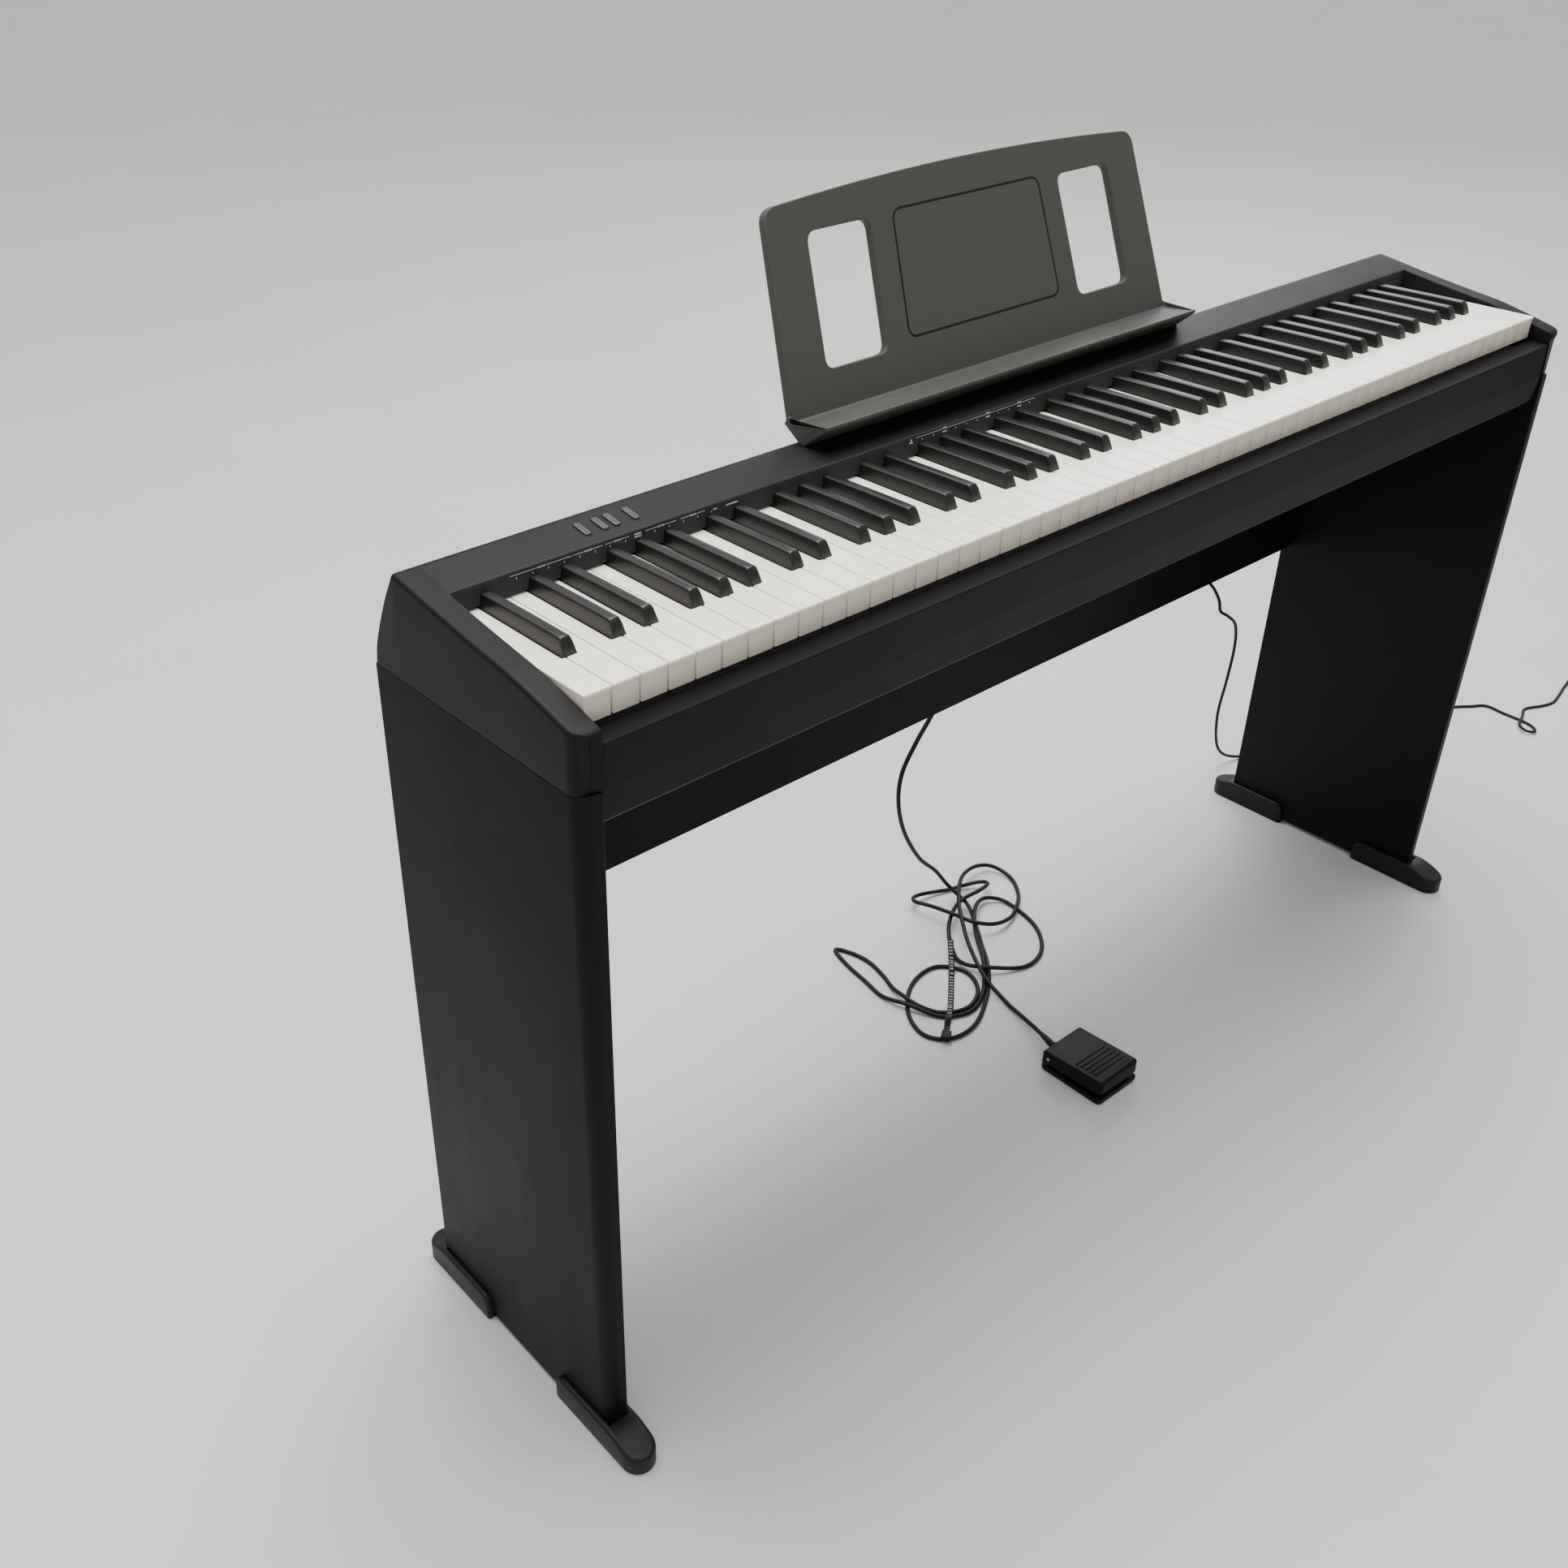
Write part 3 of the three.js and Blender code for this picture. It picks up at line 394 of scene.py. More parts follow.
def button_gap_shade(s):
    """A dark line painted around each button as the shade in its gap: the distance to a rounded bar, |p| - half
    size, kept between two limits. The four bars share one pattern, and the nearest one counts."""
    x, y, z = s.axes()
    lines = None
    for place in BUTTON_PLACES.values():
        across = ((x - place * MM).absolute() - 0.4 * MM).largest(0.0)
        along = ((y - (KEY_FRONT + BUTTON_Y) * MM).absolute() - 6.6 * MM).largest(0.0)
        far = (across * across + along * along) ** 0.5
        ring = 1.0 - (far - 2.95 * MM).absolute().above(0.18 * MM, 0.15 * MM)
        lines = ring if lines is None else lines.largest(ring)
    high = z.above((KEY_TOP + 15.0) * MM, 0.5 * MM)
    return lines * high


case_black = moulded("case_black", (0.0042, 0.0042, 0.0043), 0.5, dust=0.05, specular=0.14, grooves=button_gap_shade)
rail_black = moulded("rail_black", (0.0032, 0.0032, 0.0034), 0.5, dust=0.03, specular=0.11)
lower_black = moulded("lower_black", (0.0030, 0.0030, 0.0032), 0.6, 0.6, 0.1, dust=0.02, specular=0.1)
foot_black = moulded("foot_black", (0.0058, 0.0058, 0.006), 0.42, 0.5, 0.08, patch=25.0, specular=0.22)
button_black = moulded("button_black", (0.022, 0.022, 0.0225), 0.34, 0.25, patch=12.0)
pedal_black = moulded("pedal_black", (0.0026, 0.0026, 0.0028), 0.4, 0.6, 0.1, 0.03, 20.0, 0.12)
socket_black = moulded("socket_black", (0.006, 0.006, 0.0063), 0.35, 0.5, 0.03, patch=9.0)
print("plastics", len(bpy.data.materials))

# %% [markdown]
# ## Key tops
# White keys are a warm white acrylic that is close to satin, with a faint grain that grips the
# finger, slightly yellowed and worn smoother where hands play. Black keys are matt.


# %% Key materials
def white_key_material():
    s = Sheet("key_white")
    x, y, z = s.axes()
    cloud = s.noise(60.0, 2.0)
    fine = s.noise(0.3, 2.0, 0.7)
    grain = s.noise(1.0, 3.0, 0.6, s.place((1.6, 0.12, 1.0)))
    played = (y - (KEY_FRONT + 45.0) * MM).absolute().above(10.0 * MM, 45.0 * MM)
    # Below the cap the key is painted a darker beige: painted shade on its front and sides.
    low = z.above((KEY_TOP - 2.5) * MM, 0.4 * MM)
    body = s.mix(cloud * 0.5 + grain * 0.25, tone(0.90, 0.855, 0.765), tone(0.935, 0.895, 0.815))
    shaded = s.mix(low, tone(0.72, 0.66, 0.57), body)
    rough = played * 0.1 + fine * 0.08 + cloud * 0.08 + 0.2
    normal = s.bump(fine * 0.6 + grain * 0.8, 0.02)
    return s.finish(shaded, rough, normal, Coat_Weight=0.15, Coat_Roughness=0.2)


def black_key_material():
    s = Sheet("key_black")
    fine = s.noise(0.4, 3.0, 0.75)
    cloud = s.noise(40.0, 2.0)
    lying = s.upward() ** 4.0
    grain = s.noise(0.9, 2.0, 0.6, s.place((1.5, 0.15, 1.0)))
    body = s.mix(cloud * 0.4 + lying * 0.2, tone(0.0045, 0.0045, 0.0048), tone(0.010, 0.010, 0.0102))
    rough = fine * 0.12 + cloud * 0.1 + 0.24
    return s.finish(body, rough, s.bump(fine + grain * 0.8, 0.03), Specular_IOR_Level=0.4)


key_white = white_key_material()
key_black = black_key_material()

# %% [markdown]
# ## Foil-covered board
# The stand's boards are particle board under a black foil that is printed and pressed with a very
# shallow wood pore. The pores run the long way of each board, so the pattern is stretched that way.


# %% Boards
def foil_board(name, stretch):
    s = Sheet(name)
    where = s.place(stretch)
    pores = s.noise(3.0, 4.0, 0.65, where).above(0.55, 0.18)
    waves = s.noise(26.0, 3.0, 0.55, where)
    patches = s.noise(140.0, 2.0)
    fine = s.noise(0.5, 2.0, 0.7)
    scuff = s.noise(9.0, 4.0, 0.7).above(0.66, 0.1) * s.noise(90.0, 1.0).above(0.5, 0.2)
    lying = s.upward() ** 2.0
    body = s.mix(waves * 0.6, tone(0.0030, 0.0030, 0.0032), tone(0.0058, 0.0057, 0.0058))
    body = s.mix(scuff * 0.07 + lying * 0.1, body, tone(0.05, 0.05, 0.05))
    rough = waves * 0.1 + patches * 0.12 + scuff * 0.12 + fine * 0.06 + 0.4
    return s.finish(body, rough, s.bump(1.0 - pores + fine * 0.15, 0.05), Specular_IOR_Level=0.12)


side_foil = foil_board("side_board_foil", (1.0, 1.0, 0.07))
back_foil = foil_board("back_board_foil", (0.07, 1.0, 1.0))


# %% Rubber, leads, metal, felt and circuit boards
def rubber(name, colour, rough):
    s = Sheet(name)
    fine = s.noise(0.6, 3.0, 0.7)
    patches = s.noise(30.0, 2.0)
    lying = s.upward() ** 2.0
    body = s.mix(patches * 0.5 + lying * 0.3, tone(*colour), tone(*(c * 1.4 + 0.002 for c in colour)))
    return s.finish(body, patches * 0.15 + fine * 0.1 + rough, s.bump(fine, 0.03), Specular_IOR_Level=0.22)


lead_black = rubber("lead_sheath", (0.003, 0.003, 0.0032), 0.4)
sole_rubber = rubber("sole_rubber", (0.014, 0.014, 0.014), 0.7)


def strap_nylon():
    """Black nylon with painted highlights on its teeth: a pale stripe every 5 mm along the strap's own direction,
    kept to the middle of its width, whose line bows by 4.1 mm as a square."""
    s = Sheet("strap_nylon")
    x, y, z = s.axes()
    along = (x * 0.76 + y * 0.65) * 200.0
    bow = ((x - 21.0 * MM) / (65.0 * MM)) ** 2.0 * (4.1 * MM) + 54.9 * MM
    across = (x * -0.65 + y * 0.76 - bow).absolute()
    tooth = (along.math("FRACT") - 0.5).absolute().above(0.33, 0.05) * (1.0 - across.above(1.9 * MM, 0.4 * MM))
    patchy_highlight_and_rough = s.noise(3.0, 2.0).above(0.4, 0.2)
    ladder = x.above(-14.0 * MM, 4.0 * MM) * tooth * (patchy_highlight_and_rough * 0.6 + 0.4)
    # The pale grey is the painted highlight on the teeth, and its strength varies in patches.
    body = s.mix(ladder, tone(0.004, 0.004, 0.0045), tone(0.42, 0.42, 0.41))
    return s.finish(body, patchy_highlight_and_rough * 0.15 + 0.4, s.bump(tooth, 0.1), Specular_IOR_Level=0.15)


strap_black = strap_nylon()


def plated_steel():
    s = Sheet("plated_steel")
    streaks = s.noise(1.2, 4.0, 0.6, s.place((1.0, 1.0, 0.08)))
    patches = s.noise(12.0, 3.0)
    body = s.mix(patches, tone(0.42, 0.42, 0.41), tone(0.58, 0.58, 0.56))
    return s.finish(body, streaks * 0.2 + patches * 0.1 + 0.25, s.bump(streaks, 0.02), Metallic=1.0)


def primed_sheet():
    s = Sheet("primed_sheet")
    patches, fine = s.noise(50.0, 3.0), s.noise(0.8, 3.0)
    body = s.mix(patches, tone(0.16, 0.165, 0.17), tone(0.22, 0.225, 0.23))
    return s.finish(body, patches * 0.1 + fine * 0.1 + 0.45, s.bump(fine, 0.04))


def one_cloud(name, noise, low, high, rise, rough, depth, **fixed):
    """One noise gives it all: the colour goes from low to high, the roughness grows by rise from rough, and
    the surface is raised by depth in millimetres."""
    s = Sheet(name)
    cloud = s.noise(*noise)
    return s.finish(s.mix(cloud, tone(*low), tone(*high)), cloud * rise + rough, s.bump(cloud, depth), **fixed)


def circuit_lacquer():
    s = Sheet("circuit_lacquer")
    x, y, z = s.axes()
    lanes = ((x * 400.0).math("FRACT") - 0.5).absolute().above(0.3, 0.05) * s.noise(8.0, 0.0).above(0.5, 0.02)
    body = s.mix(lanes, tone(0.008, 0.10, 0.035), tone(0.015, 0.17, 0.06))
    return s.finish(body, lanes * 0.1 + 0.3, s.bump(lanes, 0.03))


steel, chassis_grey, circuit = plated_steel(), primed_sheet(), circuit_lacquer()
dark = (0.010, 0.010, 0.011)
pale = (0.022, 0.022, 0.023)
felt = one_cloud("pressed_felt", (0.7, 5.0, 0.75), dark, pale, 0.1, 0.85, 0.5, Sheen_Weight=0.4)
cone = one_cloud("driver_cone", (1.0, 4.0, 0.7), dark, (0.025, 0.025, 0.026), 0.2, 0.6, 0.1)
mark_grey = one_cloud("printed_mark", (1.5, 3.0, 0.6), (0.38, 0.38, 0.37), (0.55, 0.55, 0.54), 0.2, 0.45, 0.01)
print("materials", len(bpy.data.materials))

# %% [markdown]
# ## The keys
# A white key is two shells: a cap with a softly rounded edge that overhangs a little at the front,
# and the body under it. Its plan is a bar with a notch wherever a black key stands beside its tail.
# A black key is lofted along its length: the section keeps its shape while its height rises over
# the front slope.


# %% Where the keys stand
# C to E share their width as three equal tails and two slots, F to B as four tails and three slots.
SLOT, GAP = 13.7, 0.5
TAIL_C = (3 * KEY_PITCH - 2 * SLOT) / 3
TAIL_F = (4 * KEY_PITCH - 3 * SLOT) / 4
BLACK_MIDDLES = {n: (n + 1) * TAIL_C + (n + 0.5) * SLOT for n in (0, 1)}
BLACK_MIDDLES |= {n + 3: 3 * KEY_PITCH + (n + 1) * TAIL_F + (n + 0.5) * SLOT for n in (0, 1, 2)}
HEAD, CAP_END, TAIL_END = 50.0, 147.5, 195.0


def white_edge(i):
    """The x of the left side of white key i."""
    return i * KEY_PITCH - KEYBOARD / 2


def black_after(i):
    """The middle of the black key on the right of white key i, or None. The lowest white key is an A."""
    step = (i + 5) % 7
    if not 0 <= i < WHITE_KEYS - 1 or step not in BLACK_MIDDLES:
        return None
    return white_edge(i) - step * KEY_PITCH + BLACK_MIDDLES[step]


def white_outline(i, front):
    """The plan of a white key: the corners in order, with a notch beside each black neighbour. Every
    corner is rounder than its edge is drawn in, so that no ring crosses itself."""
    x0, x1 = white_edge(i) + GAP, white_edge(i + 1) - GAP
    left, right = black_after(i - 1), black_after(i)
    tail0 = x0 if left is None else left + SLOT / 2
    tail1 = x1 if right is None else right - SLOT / 2
    corners = [[x0, front], [x1, front]]
    if right is not None:
        corners += [[x1, HEAD], [tail1, HEAD]]
    corners += [[tail1, TAIL_END], [tail0, TAIL_END]]
    if left is not None:
        corners += [[tail0, HEAD], [x0, HEAD]]
    return rounded(corners, 1.3, 4)


def white_key(i):
    """A cap 2.6 thick over a body that is set back 0.9 at the front."""
    cap = plan(white_outline(i, 0.0), -2.6, 0.0, bottom=0.35, top=0.6)
    body = plan(drawn_in(white_outline(i, 0.9), 0.12), -22.0, -2.4, bottom=0.5, top=0.1)
    return together([cap, body])


def black_key(x):
    """Stations along y with a height h: the section goes up the side, whose half width is
    6.1 - 1.5 h / 12, round a corner and across a slightly crowned top."""
    turn = np.linspace(0, math.pi / 2, 6)
    nose = np.linspace(0, 1, 9)
    y = np.r_[HEAD + 0.2 + 6.6 * nose**1.15, HEAD + 12, HEAD + 40, CAP_END - 6, CAP_END]
    h = np.r_[11.9 * np.sin(nose * math.pi / 2) ** 0.86 + 0.5, 12.25, 12.1, 11.2, 11.0]
    h[0] = 0.6
    rings = []
    for place, height in zip(y, np.minimum(h, 12.3)):
        r = min(1.9, height * 0.45)
        half = 6.1 - 1.5 * height / 12
        right = np.c_[half - r + r * np.cos(turn), height - r + r * np.sin(turn) * (1 - 0.1 * np.sin(turn))]
        crown = np.array([[half * 0.35, height + 0.12]])
        up = np.r_[[[6.3, -17.0], [6.1, 0.0]], right, crown]
        section = np.r_[up, up[::-1] * [-1, 1]]
        rings.append(np.c_[section[:, 0] + x, np.full(len(section), place), section[:, 1]])
    cap = loft(rings)
    stick = plan(rounded(rectangle(x - 6.2, x + 6.2, CAP_END - 10, 194.0), 1.0, 4), -17.5, -4.2, 0.2, 0.2)
    return together([cap, stick])


NOTES = ["c", "d", "e", "f", "g", "a", "b"]
SECTIONS = {"bass_low": (0, 9), "bass_high": (9, 23), "treble_low": (30, 44), "treble_high": (44, 52)}
groups = {"white_key_" + note: (23 + n, 24 + n) for n, note in enumerate(NOTES)}
groups |= {"white_keys_" + name: span for name, span in SECTIONS.items()}
for name, (first, last) in groups.items():
    shell = together([white_key(i) for i in range(first, last)])
    piece(name + "_caps", from_keys(shell), name, key_white, name)
    middles = [black_after(i) for i in range(first, last) if black_after(i) is not None]
    if not middles:
        continue
    sharp = name.replace("white", "black") + ("_sharp" if last - first == 1 else "")
    shell = together([black_key(x) for x in middles])
    piece(sharp + "_caps", from_keys(shell), sharp, key_black, sharp)
print("white key pieces", len(groups))

# %% [markdown]
# ## The case
# One side profile makes the whole upper case. It runs from the nose of the end block up its slope to
# the panel, over the rounded rear edge and down the bulging back. The panel carries the rear part
# of it from end to end. An end block carries all of it between its inner and outer faces, with a
# quarter-round along the outer edge and a rounded corner at the front in plan.


# %% The side profile
def curve_through(points, count):
    """count points evenly spaced along a smooth curve through points: a Catmull-Rom curve, whose tangent
    at each point is half the step from the point before it to the point after it."""
    p = np.asarray(points, float)
    p = np.vstack([2 * p[0] - p[1], p, 2 * p[-1] - p[-2]])
    t = np.linspace(0, 1, 24, endpoint=False)[:, None]
    parts = []
    for a, b, c, d in zip(p[:-3], p[1:-2], p[2:-1], p[3:]):
        square, cube = 2 * a - 5 * b + 4 * c - d, 3 * b - a - 3 * c + d
        parts.append(0.5 * (2 * b + (c - a) * t + square * t**2 + cube * t**3))
    fine = np.vstack([*parts, p[-2][None]])
    steps = np.r_[0, np.cumsum(np.linalg.norm(np.diff(fine, axis=0), axis=1))]
    places = np.linspace(0, steps[-1], count)
    return np.stack([np.interp(places, steps, fine[:, k]) for k in range(p.shape[1])], -1)


NOSE = [[-22.9, -19.0], [-22.4, -16.2], [-20.5, -14.0], [-16.0, -12.2]]
SLOPE = [[0.0, -8.2], [20.0, -3.2], [48.0, 2.8], [75.0, 6.6], [100.0, 10.2], [125.0, 14.0], [147.0, 17.6]]
DECK = [[160.0, 19.9], [175.0, 22.4], [184.0, 23.9]]
EDGE = [[187.5, 24.4], [190.4, 24.0], [192.4, 22.0]]
REAR = [[197.0, 14.0], [204.0, 2.0], [213.0, -16.0], [220.5, -33.0], [225.0, -46.0], [227.0, -58.8]]
PANEL_FRONT = 147.0
side_profile = curve_through(NOSE + SLOPE + DECK + EDGE + REAR, 190)


def outward(profile):
    """The unit normal that points up and out of a profile running from front to rear."""
    t = np.gradient(profile, axis=0)
    t /= np.linalg.norm(t, axis=1)[:, None]
    return np.stack([-t[:, 1], t[:, 0]], -1)


def end_block(side):
    """At each place along the profile: inner wall, inner edge, top, outer quarter-round, outer wall, bottom.
    In plan the outer wall turns in at the front along a quarter circle of radius CORNER."""
    normal = outward(side_profile)
    y = side_profile[:, 0]
    before = np.clip(CASE_FRONT + CORNER - y, 0, CORNER)
    outer = CASE_HALF - CORNER + np.sqrt(CORNER**2 - before**2)
    outer = np.maximum(outer, CHEEK_INNER + 4.5)
    inner_round = np.where(y < PANEL_FRONT, 1.2, 0.02)
    edge = 3.8
    a = np.linspace(0, math.pi / 2, 7)
    columns = []

    def column(x, depth):
        p = side_profile - normal * np.asarray(depth)[:, None]
        columns.append(np.c_[side * x, np.maximum(p[:, 0], CASE_FRONT), np.maximum(p[:, 1], CASE_SEAM)])

    zero = np.zeros(len(y))
    columns.append(np.c_[side * np.full(len(y), CHEEK_INNER), y, np.full(len(y), CASE_SEAM)])
    for angle in a[::2]:
        column(CHEEK_INNER + inner_round * (1 - np.cos(angle)), inner_round * (1 - np.sin(angle)))
    column((CHEEK_INNER + outer) / 2, zero)
    for angle in a[::-1]:
        column(outer - edge * (1 - np.cos(angle)), zero + edge * (1 - np.sin(angle)))
    last = columns[-1].copy()
    last[:, 2] = CASE_SEAM
    columns.append(last)
    rings = np.stack(columns, 1)
    return loft(rings if side > 0 else rings[:, ::-1])


def panel():
    """The rear part of the profile and, inside it, the same line moved in by the wall's thickness."""
    rear = side_profile[side_profile[:, 0] > PANEL_FRONT + 2.5]
    corners = [[PANEL_FRONT, 1.8], [148.95, 18.0], [153.0, 18.7], [153.0, 1.8]]
    edge = rounded(corners, [0.1, 1.5, 0.1, 0.1], 7)[7:14]
    line = np.vstack([[[PANEL_FRONT, 1.9]], edge, rear[rear[:, 0] > 151.5]])
    inner = (line - outward(line) * 3.0)[::-1]
    inner[:, 1] = np.maximum(inner[:, 1], CASE_SEAM)
    inner[-1] = [149.9, 1.9]
    ring = np.vstack([line, inner])[::-1]
    return swept(ring, -CHEEK_INNER - 0.4, CHEEK_INNER + 0.4, edge=0.01)


shell = together([panel(), end_block(-1), end_block(1)])
piece("upper_case_skin", from_keys(shell), "piano", case_black, "upper_case", 50)
print("upper case", len(shell[1]), "faces")

# %% The front rail
# The section, from under the keys over the ledge, down the front, round the foot and back up inside. Below
# the end blocks, at -59.4, the rail is 2.3 longer at each end, so that it meets the side boards.
RAIL = [[-1.2, -27.5], [-1.2, -24.4], [-20.5, -25.2], [-21.0, -26.2], [-21.0, -59.0], [-20.9, -59.6]]
RAIL += [[-18.2, -85.0], [-13.5, -89.0], [-9.0, -89.0], [-9.0, -86.0], [-14.5, -81.0], [-17.5, -59.6]]
RAIL += [[-17.5, -59.0], [-18.0, -28.5]]
RAIL_ROUND = [0.5, 0.5, 0.4, 0.4, 0.1, 0.1, 2.5, 1.5, 0.4, 0.4, 1.0, 0.1, 0.1, 1.0]
v, f = swept(rounded(RAIL, RAIL_ROUND, 5)[::-1], -611.8, 611.8, edge=0.3)
v[:, 0] += np.sign(v[:, 0]) * np.where(v[:, 2] < -59.4, 2.3, 0.0)
piece("front_rail_skin", from_keys((v, f)), "piano", rail_black, "front_rail")

# %% [markdown]
# ## The panel's buttons and printed marks
# Each button is a low rounded bar. The marks are only short strokes and ticks: a scale above the
# keys that shows what each key does while the function button is held, with no words on it.


# %% Buttons
def deck_height(y):
    """The height of the panel's top at a depth y: it rises 1 in 6 toward the rear."""
    return 18.0 + (np.asarray(y) - 149.0) / 6.0


for name, x in BUTTON_PLACES.items():
    v, f = plan(stadium(x, BUTTON_Y, 2.9, 9.0, 2.9, 7), -6.0, 1.5, bottom=0.1, top=1.1, steps=5)
    v[:, 2] += deck_height(v[:, 1])
    piece(name + "_cap", from_keys((v, f)), name, button_black, name)

# %% Printed marks
marks = []


def stroke(x0, x1, y0, y1, lift=0.06):
    """A thin flat bar on the panel's top."""
    v, f = plan(rectangle(x0, x1, y0, y1), -0.4, lift, 0.01, 0.01, 2)
    v[:, 2] += deck_height(v[:, 1])
    marks.append((v, f))


def front_stroke(x0, x1, z0, z1):
    """A thin flat bar on the panel's upright front, which leans back by 2 in 16."""
    v, f = swept(rectangle(-0.07, 0.4, z0, z1), x0, x1, 0.01, 2)
    v[:, 1] += PANEL_FRONT + 1.95 * (v[:, 2] - 1.8) / 16.2
    marks.append((v, f))


stroke(-470.5, -454.5, 181.0, 181.5)
stroke(-464.0, -461.0, 182.6, 183.0)
for name in ("power_button", "function_button"):
    stroke(BUTTON_PLACES[name] - 1.3, BUTTON_PLACES[name] + 1.3, 181.2, 181.7)
SEMITONE = 13.9
BASS_SCALE = -557.5
RANGES = [(-563.0, -509.0), (-507.5, -481.0), (-478.5, -456.5), (-441.0, -412.0), (-407.0, -383.5)]
for x0, x1 in RANGES:
    middle = (x0 + x1) / 2
    front_stroke(x0, middle - 4.5, 14.9, 15.25)
    front_stroke(middle + 4.5, x1, 14.9, 15.25)
    for k in range(5):
        front_stroke(middle - 3.4 + 1.5 * k, middle - 2.4 + 1.5 * k, 14.5, 15.6)
for k in range(14):
    x = BASS_SCALE + SEMITONE * k
    front_stroke(x - 0.25, x + 0.25, 11.6, 13.4)
for x0, x1, z0 in [(-451.5, -445.0, 14.4), (-451.5, -445.0, 12.4)]:
    front_stroke(x0, x1, z0, z0 + 1.1)
for x0, x1 in [(-375.0, -371.0), (-362.0, -350.0)]:
    front_stroke(x0, x1, 13.2, 14.2)
MIDDLE_SCALE = -144.0
front_stroke(MIDDLE_SCALE - 7.5, 0.0, 15.4, 15.75)
for k in range(11):
    x = MIDDLE_SCALE + SEMITONE * 0.985 * k
    wide = 2.6 if k in (2, 6, 9) else 0.5
    front_stroke(x - wide, x + wide, 12.5, 13.6)
    if k in (2, 6, 9):
        front_stroke(x - 2.2, x + 2.2, 15.9, 16.7)
front_stroke(-159.5, -155.5, 12.2, 13.2)
front_stroke(-158.1, -156.9, 13.6, 15.6)
piece("panel_marks", from_keys(together(marks)), "piano", mark_grey)
print("printed strokes", len(marks))

# %% [markdown]
# ## The music rest
# A flat moulded leaf with a crowned top, two windows and a shallow groove that frames its middle. The groove is
# only in its material: a dark line of painted shade over a bump. A filled curve with holes gives the leaf, and
# the curve's own bevel rounds all its edges. It leans back from a wedge-shaped ledge, whose small lip stops a
# book from sliding off.


# %% The leaf
REST_Y, REST_Z, LEAN = 197.0, 38.5, 19.5


def leaf_outline():
    """A trapezium whose top is a shallow arch: 167 + 9 (1 - (x / 234)^2). Its upper corners are round."""
    x = np.linspace(214, -214, 15)
    crown = np.c_[x, 167.0 + 9.0 * (1 - (x / 234.0) ** 2)]
    corners = np.vstack([[[-248, -2], [248, -2], [234, 167]], crown, [[-234, 167]]])
    return rounded(corners, np.r_[3, 3, 13, np.full(15, 2.0), 13], 7)


def window(side):
    """The outline of one opening. On the left it is mirrored and its order is turned round."""
    line = rounded([[127, 33], [199, 33], [192.5, 143], [120.5, 143]], 10, 7)
    return line if side > 0 else (line * [-1, 1])[::-1]


def filled(outlines, half_thickness, bevel):
    """A flat curve with holes, extruded to both sides and rounded, as vertices and faces."""
    data = bpy.data.curves.new("flat", "CURVE")
    data.dimensions, data.fill_mode = "2D", "BOTH"
    data.extrude, data.bevel_depth = half_thickness - bevel, bevel
    data.bevel_resolution, data.offset = 2, -bevel
    for line in outlines:
        spline = data.splines.new("POLY")
        spline.points.add(len(line) - 1)
        spline.points.foreach_set("co", np.c_[line, np.zeros(len(line)), np.ones(len(line))].ravel())
        spline.use_cyclic_u = True
    carrier = bpy.data.objects.new("flat", data)
    bpy.context.collection.objects.link(carrier)
    mesh = bpy.data.meshes.new_from_object(carrier.evaluated_get(bpy.context.evaluated_depsgraph_get()))
    v = np.empty(len(mesh.vertices) * 3)
    mesh.vertices.foreach_get("co", v)
    faces = [list(p.vertices) for p in mesh.polygons]
    bpy.data.objects.remove(carrier)
    bpy.data.meshes.remove(mesh)
    return v.reshape(-1, 3), faces


def leaned(v):
    """Leaf coordinates to the keyboard's axes: (x, s, d) goes to s up the lean and d out of its face."""
    a = math.radians(LEAN)
    x, s, d = v[:, 0], v[:, 1], v[:, 2]
    return np.c_[x, REST_Y + s * math.sin(a) - d * math.cos(a), REST_Z + s * math.cos(a) + d * math.sin(a)]


HALF_LEAF = 4.0
v, f = filled([leaf_outline(), window(-1), window(1)], HALF_LEAF, 1.0)
v[:, 2] -= HALF_LEAF
leaf = (leaned(v), f)
print("leaf", len(f), "faces")


# %% The keel under the leaf, and its two tabs
def keel():
    """Cut along x, the keel is a wedge: a shelf that rises to a lip, and a face that runs back under it to
    the panel. It is 245.3 wide to each side at the lip and 250 at its foot."""
    lip, foot_front, foot_rear = 159.6, 180.8, 187.0
    shelf = [[201.5, 43.0], [198.7, 42.9], [197.2, 39.0], [193.0, 38.3], [162.8, 41.9], [162.2, 43.4]]
    under = [[y, deck_height(y) + 0.3] for y in (foot_front, foot_rear)]
    profile = rounded([[lip, 40.8], *under, [204.6, 36.2], *shelf, [lip, 43.4]], 0.55, 5)
    v, f = swept(profile, -200.0, 200.0, edge=0.5, steps=3)
    half = 245.3 + np.clip((v[:, 1] - lip) / (foot_front - lip), 0, 1) * 4.7
    v[:, 0] += np.sign(v[:, 0]) * (half - 200.0)
    return v, f


def tab(x):
    """One of the two flat feet that stand in the panel's slots."""
    return plan(rounded(rectangle(x - 20, x + 20, 181.0, 185.0), 1.2, 4), 10.4, 25.0, 0.9, 0.1)


shell = together([leaf, keel(), tab(-150.0), tab(150.0)])


